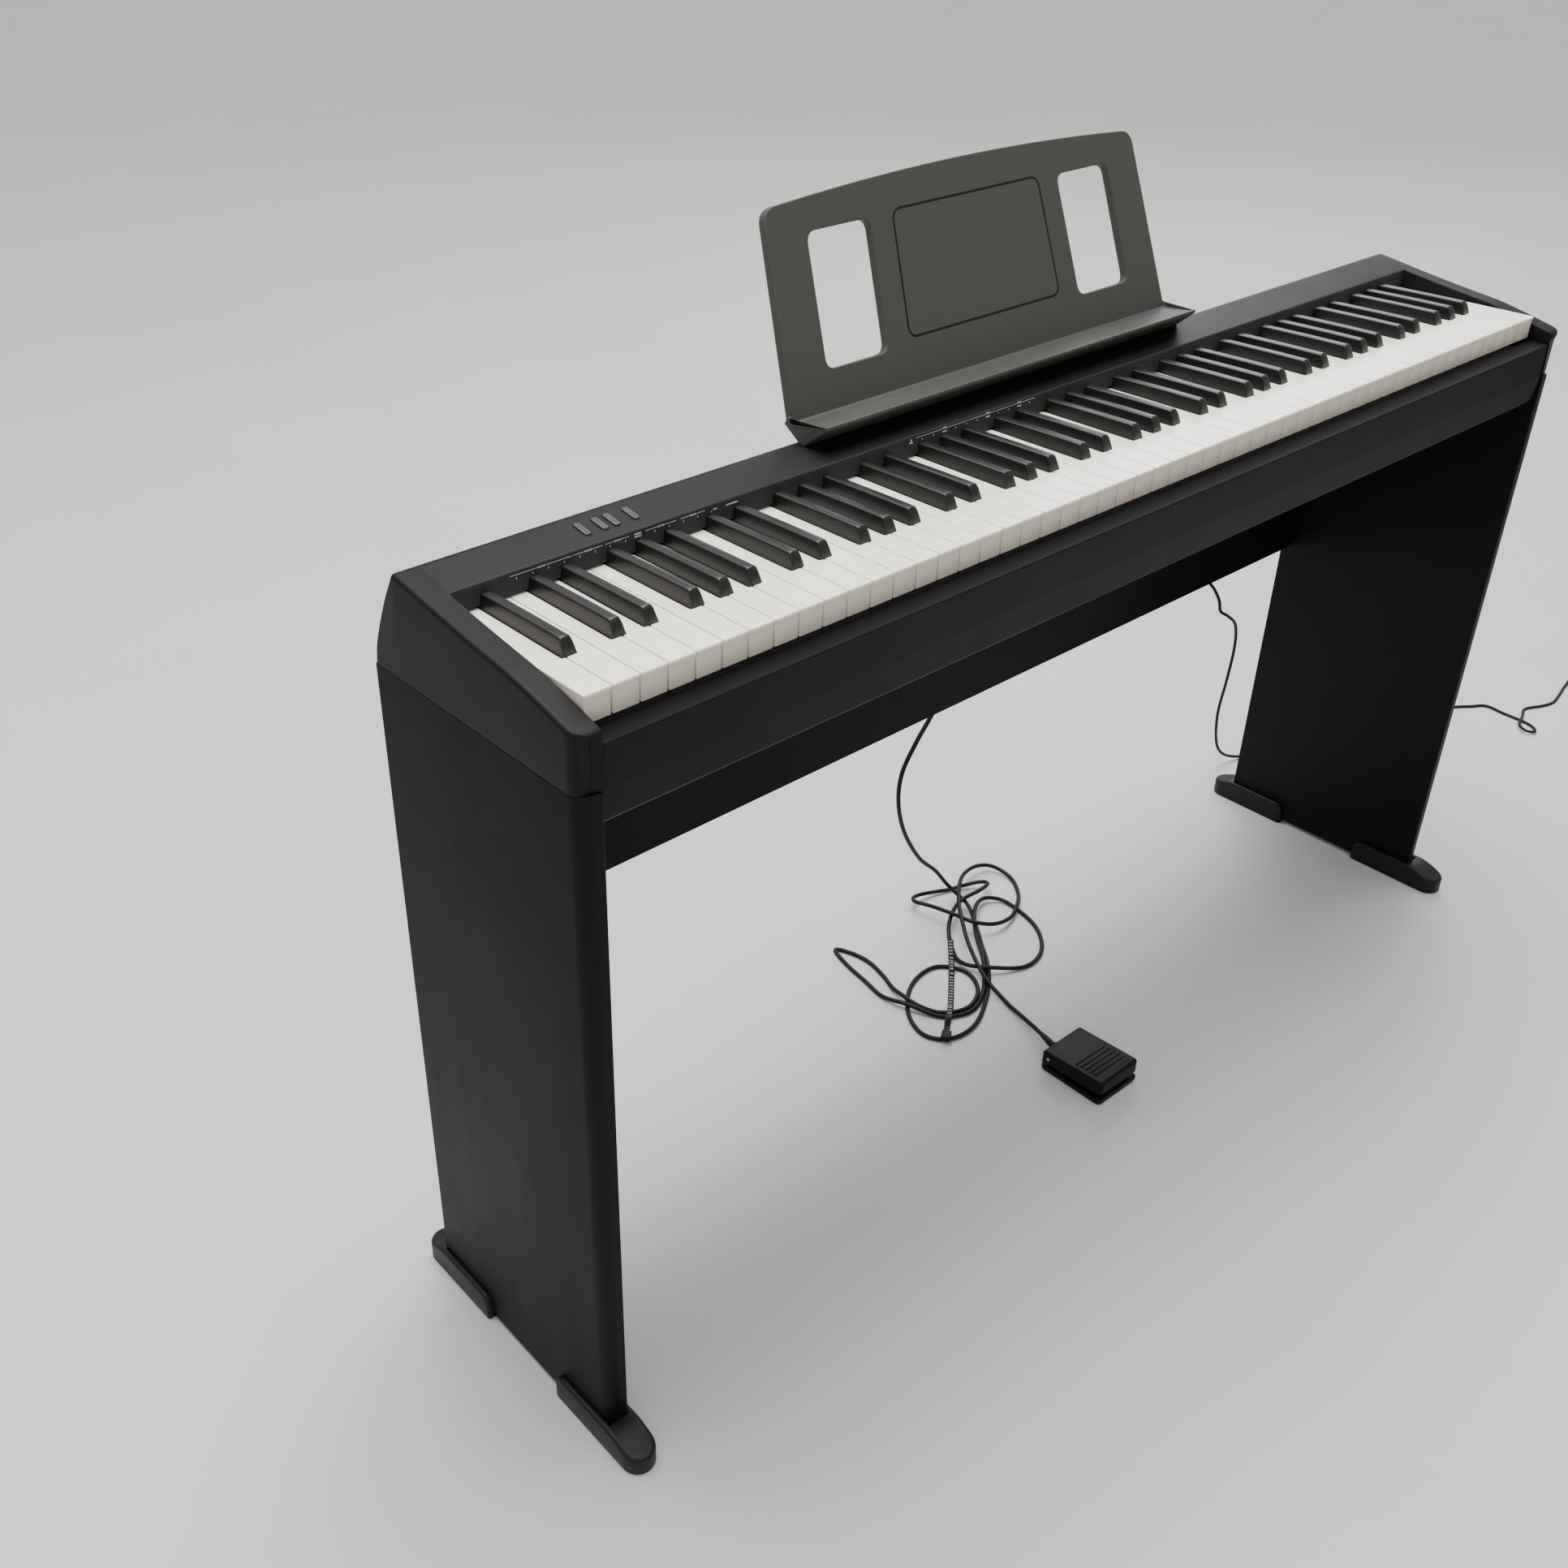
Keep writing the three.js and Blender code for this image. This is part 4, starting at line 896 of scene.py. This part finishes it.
def rest_groove_shade(s):
    """A rounded frame, painted as a dark line of shade in the groove: the distance from the middle rectangle,
    kept thin. It leans with the leaf, so the height up the leaf is measured along z and stretched by the lean."""
    x, y, z = s.axes()
    up = (z - (KEY_TOP + REST_Z) * MM) / math.cos(math.radians(LEAN))
    half = 99.5 * MM - (up - 39.0 * MM) * 0.057
    across = (x.absolute() - half + 9.0 * MM).largest(0.0)
    along = ((up - 92.0 * MM).absolute() - 44.0 * MM).largest(0.0)
    far = (across * across + along * along) ** 0.5
    line = 1.0 - (far - 9.0 * MM).absolute().above(0.8 * MM, 0.5 * MM)
    front = s.add("ShaderNodeSeparateXYZ", None, {0: s.add("ShaderNodeNewGeometry", out=1)}, out=1)
    return line * (front * -1.0).above(0.5, 0.2) * (y - (KEY_FRONT + 190.0) * MM).above(0.0, 1.0 * MM)


rest_tone = (0.052, 0.0505, 0.0475)
rest_grooved = moulded("rest_grooved", rest_tone, 0.5, 0.4, 0.06, 0.08, specular=0.22, grooves=rest_groove_shade)
piece("music_rest_leaf", from_keys(shell), "music_rest", rest_grooved, "music_rest", 40)

# %% [markdown]
# ## The stand
# Two side boards stand under the end blocks and follow their plan, so the rounded front corner runs
# on down to the floor. A back board ties them together. Each end of a side board sits in a cradle
# with a long low nose.


# %% Boards
def board_plan(side):
    """The side board's plan, with the same round outer front corner as the end block above it."""
    inner, outer, front, rear = BOARD_INNER, CASE_HALF, CASE_FRONT, CASE_REAR
    a = np.linspace(0, math.pi / 2, 12)
    arc = np.c_[outer - CORNER * (1 - np.sin(a)), front + CORNER * (1 - np.cos(a))]
    line = np.vstack([[[inner + 1, front]], arc, [[outer, rear - 0.8], [outer - 0.8, rear], [inner + 0.8, rear]]])
    line = np.vstack([line, [[inner, rear - 0.8], [inner, front + 1]]])
    return line if side > 0 else (line * [-1, 1])[::-1]


for side, word in ((-1, "left"), (1, "right")):
    name = "side_board_" + word
    board = from_floor(plan(board_plan(side), 4.6, 643.6, 0.6, 0.8, 4))
    piece(name + "_foil", board, "piano", side_foil, name)

board = swept(rounded(rectangle(CASE_REAR - 12.0, CASE_REAR, 373.0, 600.0), 0.8, 4), -614.1, 614.1, 0.4)
piece("back_board_foil", from_floor(board), "piano", back_foil, "back_board")


# %% Cradles
def cradle(side, front):
    """Rings from the floor up the outside, over the rim and down into the slot that holds the board. The
    outside is a bar with one round end. Along that nose the rim rises by 8 s s (3 - 2 s)."""
    middle = side * (CASE_HALF - 9.75)
    way = 1.0 if front else -1.0
    tip, end, face = (-62.4, 48.0, CASE_FRONT) if front else (256.4, 150.0, CASE_REAR)
    half, long, corner = 15.5, abs(end - tip) / 2, 3.0
    a = np.linspace(0, math.pi, 33)
    nose = np.c_[half * np.cos(a), half - long - half * np.sin(a)]
    b = np.linspace(0, math.pi / 2, 6)
    turn = np.c_[corner - half - corner * np.cos(b), long - corner + corner * np.sin(b)]
    flank = np.c_[np.full(16, -half), np.linspace(half - long, long - corner, 18)[1:-1]]
    outline = np.concatenate([nose, flank, turn, turn[::-1] * [-1, 1], flank[::-1] * [-1, 1]])
    count = len(outline)
    slot_front = -(long - abs(face - tip)) + 0.2
    slot_rear = long - 5.0
    slot = np.c_[np.clip(outline[:, 0], -9.95, 9.95), np.clip(outline[:, 1], slot_front, slot_rear)]
    rim_y = np.clip(outline[:, 1], slot_front - 1.2, slot_rear + 1.2)
    rim = np.c_[np.clip(outline[:, 0] * 0.9, -11.2, 11.2), rim_y]

    def top(y):
        rise = np.clip((y + long - 2.0) / 34.0, 0, 1)
        fall = np.clip((y - (long - 12.0)) / 12.0, 0, 1)
        return 19.0 + 8.0 * rise * rise * (3 - 2 * rise) - 7.0 * fall**2

    def shrink(ring, d):
        return ring * [1 - d / half, 1 - d / long]

    rings = []
    for d, z in ((1.2, 0.0), (0.3, 0.4), (0.0, 1.4)):
        rings.append(np.c_[shrink(outline, d), np.full(count, z)])
    r = 3.2
    for a in np.linspace(0, math.pi / 2, 6):
        ring = shrink(outline, r * (1 - math.cos(a)))
        rings.append(np.c_[ring, top(ring[:, 1]) - r + r * math.sin(a)])
    for w in (0.25, 0.6, 1.0):
        ring = shrink(outline, 3.4) * (1 - w) + rim * w
        rings.append(np.c_[ring, top(ring[:, 1])])
    rings += [np.c_[slot, top(slot[:, 1]) - 0.5], np.c_[slot, np.full(count, 12.0)]]
    rings = np.array(rings) * [1, way, 1] + [middle, (tip + end) / 2, 0]
    return loft(rings[:, ::-1] if front else rings)


for side, word in ((-1, "left"), (1, "right")):
    for front, end in ((True, "front"), (False, "rear")):
        name = f"{end}_foot_{word}"
        piece(name + "_cradle", from_floor(cradle(side, front)), "piano", foot_black, name, 45)

# %% [markdown]
# ## The foot switch
# A thin base plate with a hinged treadle over it. The treadle is a tray turned over, ribbed where the
# foot presses, and it turns on a pin that runs through the two ears of the base.


# %% The base of the foot switch
PX, PY = 35.0, -92.5
PEDAL_FRONT, PEDAL_REAR = PY - 39.5, PY + 39.5
HINGE_Y = PEDAL_REAR - 9.0
plate = plan(stadium(PX, PY, 32.0, 39.4, 6.0, 7), 2.3, 7.0, 0.6, 1.0, 4)
tower = plan(stadium(PX, PEDAL_REAR - 3.6, 16.0, 3.4, 1.6, 5), 6.0, 19.0, 0.1, 1.0, 4)
ears = [plan(stadium(PX + x, HINGE_Y, 1.5, 5.0, 1.0, 5), 6.0, 20.5, 0.1, 0.5, 3) for x in (-26.5, 26.5)]
plunger = plan(stadium(PX, PY - 12.0, 6.0, 6.0, 6.0, 6), 6.0, 18.0, 0.1, 1.5, 4)
shell = together([plate, tower, *ears, plunger])
piece("pedal_base_shell", moved(shell), "piano", pedal_black, "pedal_base")


# %% The treadle
TREADLE_TOP = 29.0


def evenly(outline, count):
    """The same closed outline with count points an equal distance apart."""
    closed = np.vstack([outline, outline[:1]])
    steps = np.r_[0, np.cumsum(np.linalg.norm(np.diff(closed, axis=0), axis=1))]
    places = np.linspace(0, steps[-1], count, endpoint=False)
    return np.stack([np.interp(places, steps, closed[:, k]) for k in range(2)], -1)


def treadle():
    """A tray turned over. Rings run from the hollow's roof down the inside of the skirt, round its lower
    edge, up the outside and over a quarter-round onto the top, which falls 5 toward the rear. The skirt's
    lower edge rises toward the front, and at the rear it stays above the lead."""
    corners = rectangle(PX - 31, PX + 31, PEDAL_FRONT + 1, PEDAL_REAR - 0.5)
    outline = evenly(rounded(corners, [5, 5, 3, 3], 9), 150)
    fall = (outline[:, 1] - PEDAL_FRONT) / (PEDAL_REAR - PEDAL_FRONT)
    top = TREADLE_TOP - 5.0 * fall
    skirt = 13.5 - 4.5 * fall
    behind = (outline[:, 1] > PEDAL_REAR - 1.0) & (np.abs(outline[:, 0] - PX) < 26.0)
    skirt = np.where(behind, 19.6, skirt)
    inside = [(3.0, top - 2.6), (2.5, top - 3.1), (2.5, skirt + 0.2), (2.2, skirt)]
    outside = [(0.3, skirt), (0.0, skirt + 0.3)]
    r = 2.6
    over = [(r * (1 - math.cos(a)), top - r + r * math.sin(a)) for a in np.linspace(0, math.pi / 2, 6)]
    rings = [np.c_[drawn_in(outline, d), z] for d, z in [*inside, *outside, *over, (3.0, top)]]
    ribs = []
    for y in PY - 12.0 + 6.0 * np.arange(-2, 3):
        height = TREADLE_TOP - 5.0 * (y - PEDAL_FRONT) / (PEDAL_REAR - PEDAL_FRONT)
        bar_line = rounded(rectangle(y - 1.5, y + 1.5, height - 1.0, height + 0.7), 0.65, 5)
        ribs.append(swept(bar_line, PX - 24, PX + 24, 0.6, 4))
    return together([loft(rings), *ribs])


piece("pedal_treadle_tray", moved(treadle()), "pedal_treadle", pedal_black, "pedal_treadle", 42)
sole = plan(stadium(PX, PY, 31.0, 38.4, 5.0, 6), 0.0, 2.3, 0.3, 0.1, 3)
piece("pedal_sole_pad", moved(sole), "piano", sole_rubber, "pedal_sole")

# %% [markdown]
# ## The leads
# A lead is a tube along one smooth route. The routes are given as points on the floor plan, and the tube is then
# laid over itself: wherever it comes back across an earlier stretch, it is lifted by one thickness over a long
# low hump.


# %% Laying a lead over itself
def piled(path, thickness, floor_from):
    """At a crossing the later strand has to clear the earlier one: their centres stay one thickness apart,
    so with d between them in plan it lies sqrt(t^2 - d^2) above. The lift is spread along the lead as a
    raised cosine, 0.5 + 0.5 cos(pi s / w), with w about eight times the lift."""
    path = path.copy()
    steps = np.r_[0, np.cumsum(np.linalg.norm(np.diff(path, axis=0), axis=1))]
    spacing = 1.04 * thickness
    for i in np.flatnonzero(steps > floor_from):
        early = steps < steps[i] - 9 * thickness
        gap = np.linalg.norm(path[early, :2] - path[i, :2], axis=1)
        near = (gap < spacing) & (path[early, 2] < 7 * thickness)
        if not near.any():
            continue
        need = (path[early, 2][near] + np.sqrt(spacing**2 - gap[near] ** 2)).max()
        lift = need - path[i, 2]
        if lift <= 0:
            continue
        width = max(20.0, 8.0 * (need - thickness / 2))
        hump = 0.5 + 0.5 * np.cos(math.pi * np.clip((steps - steps[i]) / width, -1, 1))
        raised = thickness / 2 + (need - thickness / 2) * hump
        path[:, 2] = np.where((steps > floor_from) & (raised > path[:, 2]), raised, path[:, 2])
    return path


def length_of(path):
    """The sum of the steps from each point to the next."""
    return float(np.linalg.norm(np.diff(path, axis=0), axis=1).sum())


# %% The foot switch's lead
JACK_Z, JACK_Y = 629.0, KEY_FRONT + 225.0
PEDAL_X = 92.0
hanging = [
    [PEDAL_X, JACK_Y + 42.3, JACK_Z], [PEDAL_X, JACK_Y + 50, JACK_Z], [PEDAL_X, JACK_Y + 64, 620],
    [PEDAL_X, JACK_Y + 70, 599], [93, JACK_Y + 63, 556], [92, JACK_Y + 48, 500], [85, JACK_Y + 40, 440],
    [62, JACK_Y + 34, 385], [26, 157, 338], [5, 158, 310], [-9, 162, 275], [-4, 168, 232], [22, 179, 177],
    [70, 196, 112], [119, 211, 63], [147, 214, 28], [154, 201, 16], [152, 182, 11], [137, 157, 6],
    [114, 126, 3],
]
lying = [
    *([95, 101], [68, 75], [31, 50], [0, 36], [-28, 35], [-48, 46], [-55, 66], [-44, 94]),
    *([-18, 120], [12, 134], [42, 134], [60, 115], [61, 94], [46, 72], [18, 61], [-9, 71]),
    *([-27, 97], [-27, 128], [-16, 160], [-10, 190], [-14, 216], [-24, 232], [-33, 204], [-38, 170]),
    *([-43, 135], [-36, 105], [-18, 70], [10, 55], [38, 61], [66, 80], [95, 108], [124, 146]),
    *([153, 172], [180, 182], [199, 170], [201, 145], [190, 107], [164, 77], [132, 66], [101, 76]),
    *([77, 94], [69, 116], [80, 142], [104, 170], [140, 188], [181, 190], [204, 197], [196, 211]),
    *([160, 229], [122, 237], [106, 229], [110, 205], [117, 175], [126, 150], [148, 135], [182, 138]),
    *([220, 160], [243, 190], [241, 220], [218, 230], [180, 219], [139, 187], [112, 158], [88, 126], [70, 92]),
]
arriving = [[61, 66, 2.6], [58.5, 54, 2.6], [54, 32, 3.4], [48, 8, 5.5], [40, -16, 9.5], [32.5, -36, 13]]
arriving += [[29, -46, 14], [29, -52.7, 14]]
route = hanging + [[x, y, 2.6] for x, y in lying] + arriving
pedal_path = curve_through(route, 1300)
pedal_path = piled(pedal_path, 5.0, length_of(curve_through(hanging, 300)) - 30.0)
pedal_path[:, 2] = np.maximum(pedal_path[:, 2], 2.55)
tube = moved(bar(pedal_path, 2.5, 14))
pedal_lead = piece("pedal_lead", tube, "piano", lead_black, "pedal_cord", 60)
ribbed = [4.4, 4.4, 4.2, 3.6, 4.1, 3.4, 3.8, 3.2, 3.5, 3.0, 3.0, 2.7]
relief = bar(pedal_path[-12:][::-1], ribbed, 16)
piece("pedal_strain_relief", moved(relief), "piano", lead_black)

# %% The adapter's lead
DC_X = 440.0
route = [
    [DC_X, JACK_Y + 26.3, JACK_Z], [DC_X, JACK_Y + 33, JACK_Z], [DC_X, JACK_Y + 46, 621],
    [DC_X, JACK_Y + 52, 603], [441, JACK_Y + 49, 566], [443, JACK_Y + 42, 510], [449, JACK_Y + 32, 450],
    [462, JACK_Y + 23, 400], [484, 142, 362], [507, 141, 338], [522, 141, 318], [531, 142, 301],
    [552, 143, 287], [580, 147, 264], [602, 155, 222], [618, 166, 165], [636, 180, 95], [664, 186, 32],
    [702, 180, 6], [760, 162, 2.1], [850, 132, 2.1], [950, 102, 2.1], [1020, 80, 2.1], [1066, 59, 2.1],
    [1090, 42, 2.1], [1108, 28, 2.1], [1106, 0, 2.1], [1105, -28, 2.1], [1100, -45, 2.1], [1088, -54, 3],
    [1077, -47, 5], [1082, -34, 6.6], [1096, -28, 6.4], [1118, -21, 3], [1142, -13, 2.1], [1168, -24, 2.1],
    [1190, -30, 2.1], [1217, -26, 2.1], [1253, -18, 2.1], [1284, -14, 7], [1310, -14, 14],
    [1325.7, -14, 16],
]
dc_path = curve_through(route, 700)
dc_path[:, 2] = np.maximum(dc_path[:, 2], 2.05)
tube = moved(bar(dc_path, 2.0, 12))
dc_lead = piece("adapter_lead", tube, "piano", lead_black, "dc_cord", 60)

# %% Plugs, adapter and strap
dress(socket_black, "pedal_plug", "dc_plug", "mains_adapter")


def draped(line, cords, thickness, cord_radius):
    """The strap rests on whatever lies under it: at each sample the height of the highest strand nearby,
    then spread as a running maximum and averaged, so that it bridges the gaps like a stiff band."""
    high = np.full(len(line), thickness / 2 + 0.2)
    for i, place in enumerate(line):
        near = np.linalg.norm(cords[:, :2] - place[:2], axis=1) < cord_radius + 3.4
        near &= cords[:, 2] < 40.0
        if near.any():
            high[i] = cords[near, 2].max() + cord_radius + thickness / 2 + 0.15
    reach = 9
    for gather in (np.max, np.mean):
        padded = np.pad(high, reach, mode="edge")
        high = gather([padded[k : k + len(line)] for k in range(2 * reach + 1)], axis=0)
    return np.c_[line[:, :2], high]


def strap_shell(line, half_width, thickness):
    """A band with a low ladder of teeth on top: rings of eight points, and every other ring is taller."""
    along = np.gradient(line, axis=0)
    side = np.c_[along[:, 1], -along[:, 0], np.zeros(len(line))]
    side /= np.linalg.norm(side, axis=1)[:, None]
    tooth = np.where(np.arange(len(line)) % 10 < 4, 0.4, 0.0) * (np.arange(len(line)) < 0.66 * len(line))
    rings = []
    for p, w, t in zip(line, side, tooth):
        a, b, h = half_width, half_width * 0.62, thickness / 2
        offsets = [(-a, -h * 0.6), (-a * 0.93, -h), (a * 0.93, -h), (a, -h * 0.6)]
        offsets += [(a, h * 0.7), (b, h + t), (-b, h + t), (-a, h * 0.7)]
        rings.append([p + w * x + np.array([0, 0, z]) for x, z in offsets])
    return loft(rings)


STRAP = [[86, 151], [62, 127], [29, 97], [1, 73], [-19, 59], [-36, 45], [-44, 40]]
strap_line = draped(curve_through(STRAP, 340), pedal_path, 1.1, 2.5)
heading = math.atan2(40 - 45, -44 + 36)
v, f = plan(rounded(rectangle(-6.5, 6.5, -5.2, 5.2), 1.4, 4), -3.0, 3.8, 0.5, 0.9, 3)
turn = np.array([[math.cos(heading), math.sin(heading)], [-math.sin(heading), math.cos(heading)]])
head = (np.c_[v[:, :2] @ turn, v[:, 2]] + strap_line[-8], f)
shell = together([strap_shell(strap_line, 3.4, 1.1), head])
piece("lead_strap", moved(shell), "piano", strap_black, "cord_tie", 30)
print("strap", round(length_of(strap_line)), "mm")

# %% [markdown]
# ## The nodes that keep their CAD shape
# The lower case, the boards inside and the sockets are hardly seen, so they keep the CAD's mesh and only
# get their finish.

# %% Finishes for the CAD's own nodes
dress(lower_black, "lower_case")
dress(chassis_grey, "key_chassis")
dress(felt, "key_stop_felt")
dress(circuit, "main_board", "button_board")
dress(cone, "speaker_left", "speaker_right")
dress(steel, "bracket_left", "bracket_right", "pedal_pin")
dress(socket_black, "dc_socket", "pedal_socket", "usb_socket", "phones_socket")

# %% [markdown]
# ## Camera, floor and light
# The camera stands in front of the bass end at about eye height and looks down along the keyboard.
# The floor is plain and pale. Three large soft lights and a very wide sun stand for a studio.


# %% Camera
def camera():
    yaw, pitch, roll = -0.6763, -0.5552, -0.0165
    ahead = Vector((-math.sin(yaw) * math.cos(pitch), math.cos(yaw) * math.cos(pitch), math.sin(pitch)))
    right = Vector((math.cos(yaw), math.sin(yaw), 0.0))
    up = right.cross(ahead)
    turned_right = math.cos(roll) * right + math.sin(roll) * up
    turned_up = -math.sin(roll) * right + math.cos(roll) * up
    data = bpy.data.cameras.new("camera")
    data.lens, data.sensor_width, data.shift_x, data.shift_y = 37.42, 36.0, 0.0770, -0.0111
    data.clip_start, data.clip_end = 0.05, 60.0
    thing = bpy.data.objects.new("camera", data)
    turn = Matrix((turned_right, turned_up, -ahead)).transposed().to_4x4()
    thing.matrix_world = Matrix.Translation((-1.1324, -0.8299, 1.2055)) @ turn
    bpy.context.collection.objects.link(thing)
    bpy.context.scene.camera = thing
    return thing


camera()


# %% Floor
def pale_floor():
    s = Sheet("pale_floor")
    cloud = s.noise(400.0, 3.0)
    s.finish(s.mix(cloud, tone(0.50, 0.50, 0.495), tone(0.54, 0.54, 0.535)), cloud * 0.1 + 0.6)
    mesh = bpy.data.meshes.new("floor")
    corners = [(-25, -25, 0), (25, -25, 0), (25, 25, 0), (-25, 25, 0)]
    mesh.from_pydata(corners, [], [(0, 1, 2, 3)])
    mesh.materials.append(s.material)
    thing = bpy.data.objects.new("floor", mesh)
    bpy.context.collection.objects.link(thing)


pale_floor()


# %% Light
def soft_light(name, place, target, size, power):
    data = bpy.data.lights.new(name, "AREA")
    data.shape, data.size, data.energy = "DISK", size, power
    thing = bpy.data.objects.new(name, data)
    aim = (Vector(target) - Vector(place)).to_track_quat("-Z", "Y")
    thing.matrix_world = Matrix.Translation(place) @ aim.to_matrix().to_4x4()
    bpy.context.collection.objects.link(thing)


soft_light("ceiling", (-0.2, 0.5, 3.4), (0.0, 0.1, 0.5), 2.6, 125)
soft_light("window", (3.2, 2.0, 2.6), (0.1, 0.0, 0.6), 2.2, 60)
soft_light("fill", (-2.6, -2.6, 2.2), (0.0, 0.0, 0.4), 2.4, 22)
sky = bpy.data.lights.new("sky", "SUN")
sky.energy, sky.angle = 2.1, math.radians(50)
high = bpy.data.objects.new("sky", sky)
high.matrix_world = Vector((0.15, 0.25, 1.0)).to_track_quat("Z", "Y").to_matrix().to_4x4()
bpy.context.collection.objects.link(high)
world = bpy.data.worlds.new("studio")
world.use_nodes = True
world.node_tree.nodes["Background"].inputs[0].default_value = tone(0.92, 0.9, 0.87)
world.node_tree.nodes["Background"].inputs[1].default_value = 0.65
bpy.context.scene.world = world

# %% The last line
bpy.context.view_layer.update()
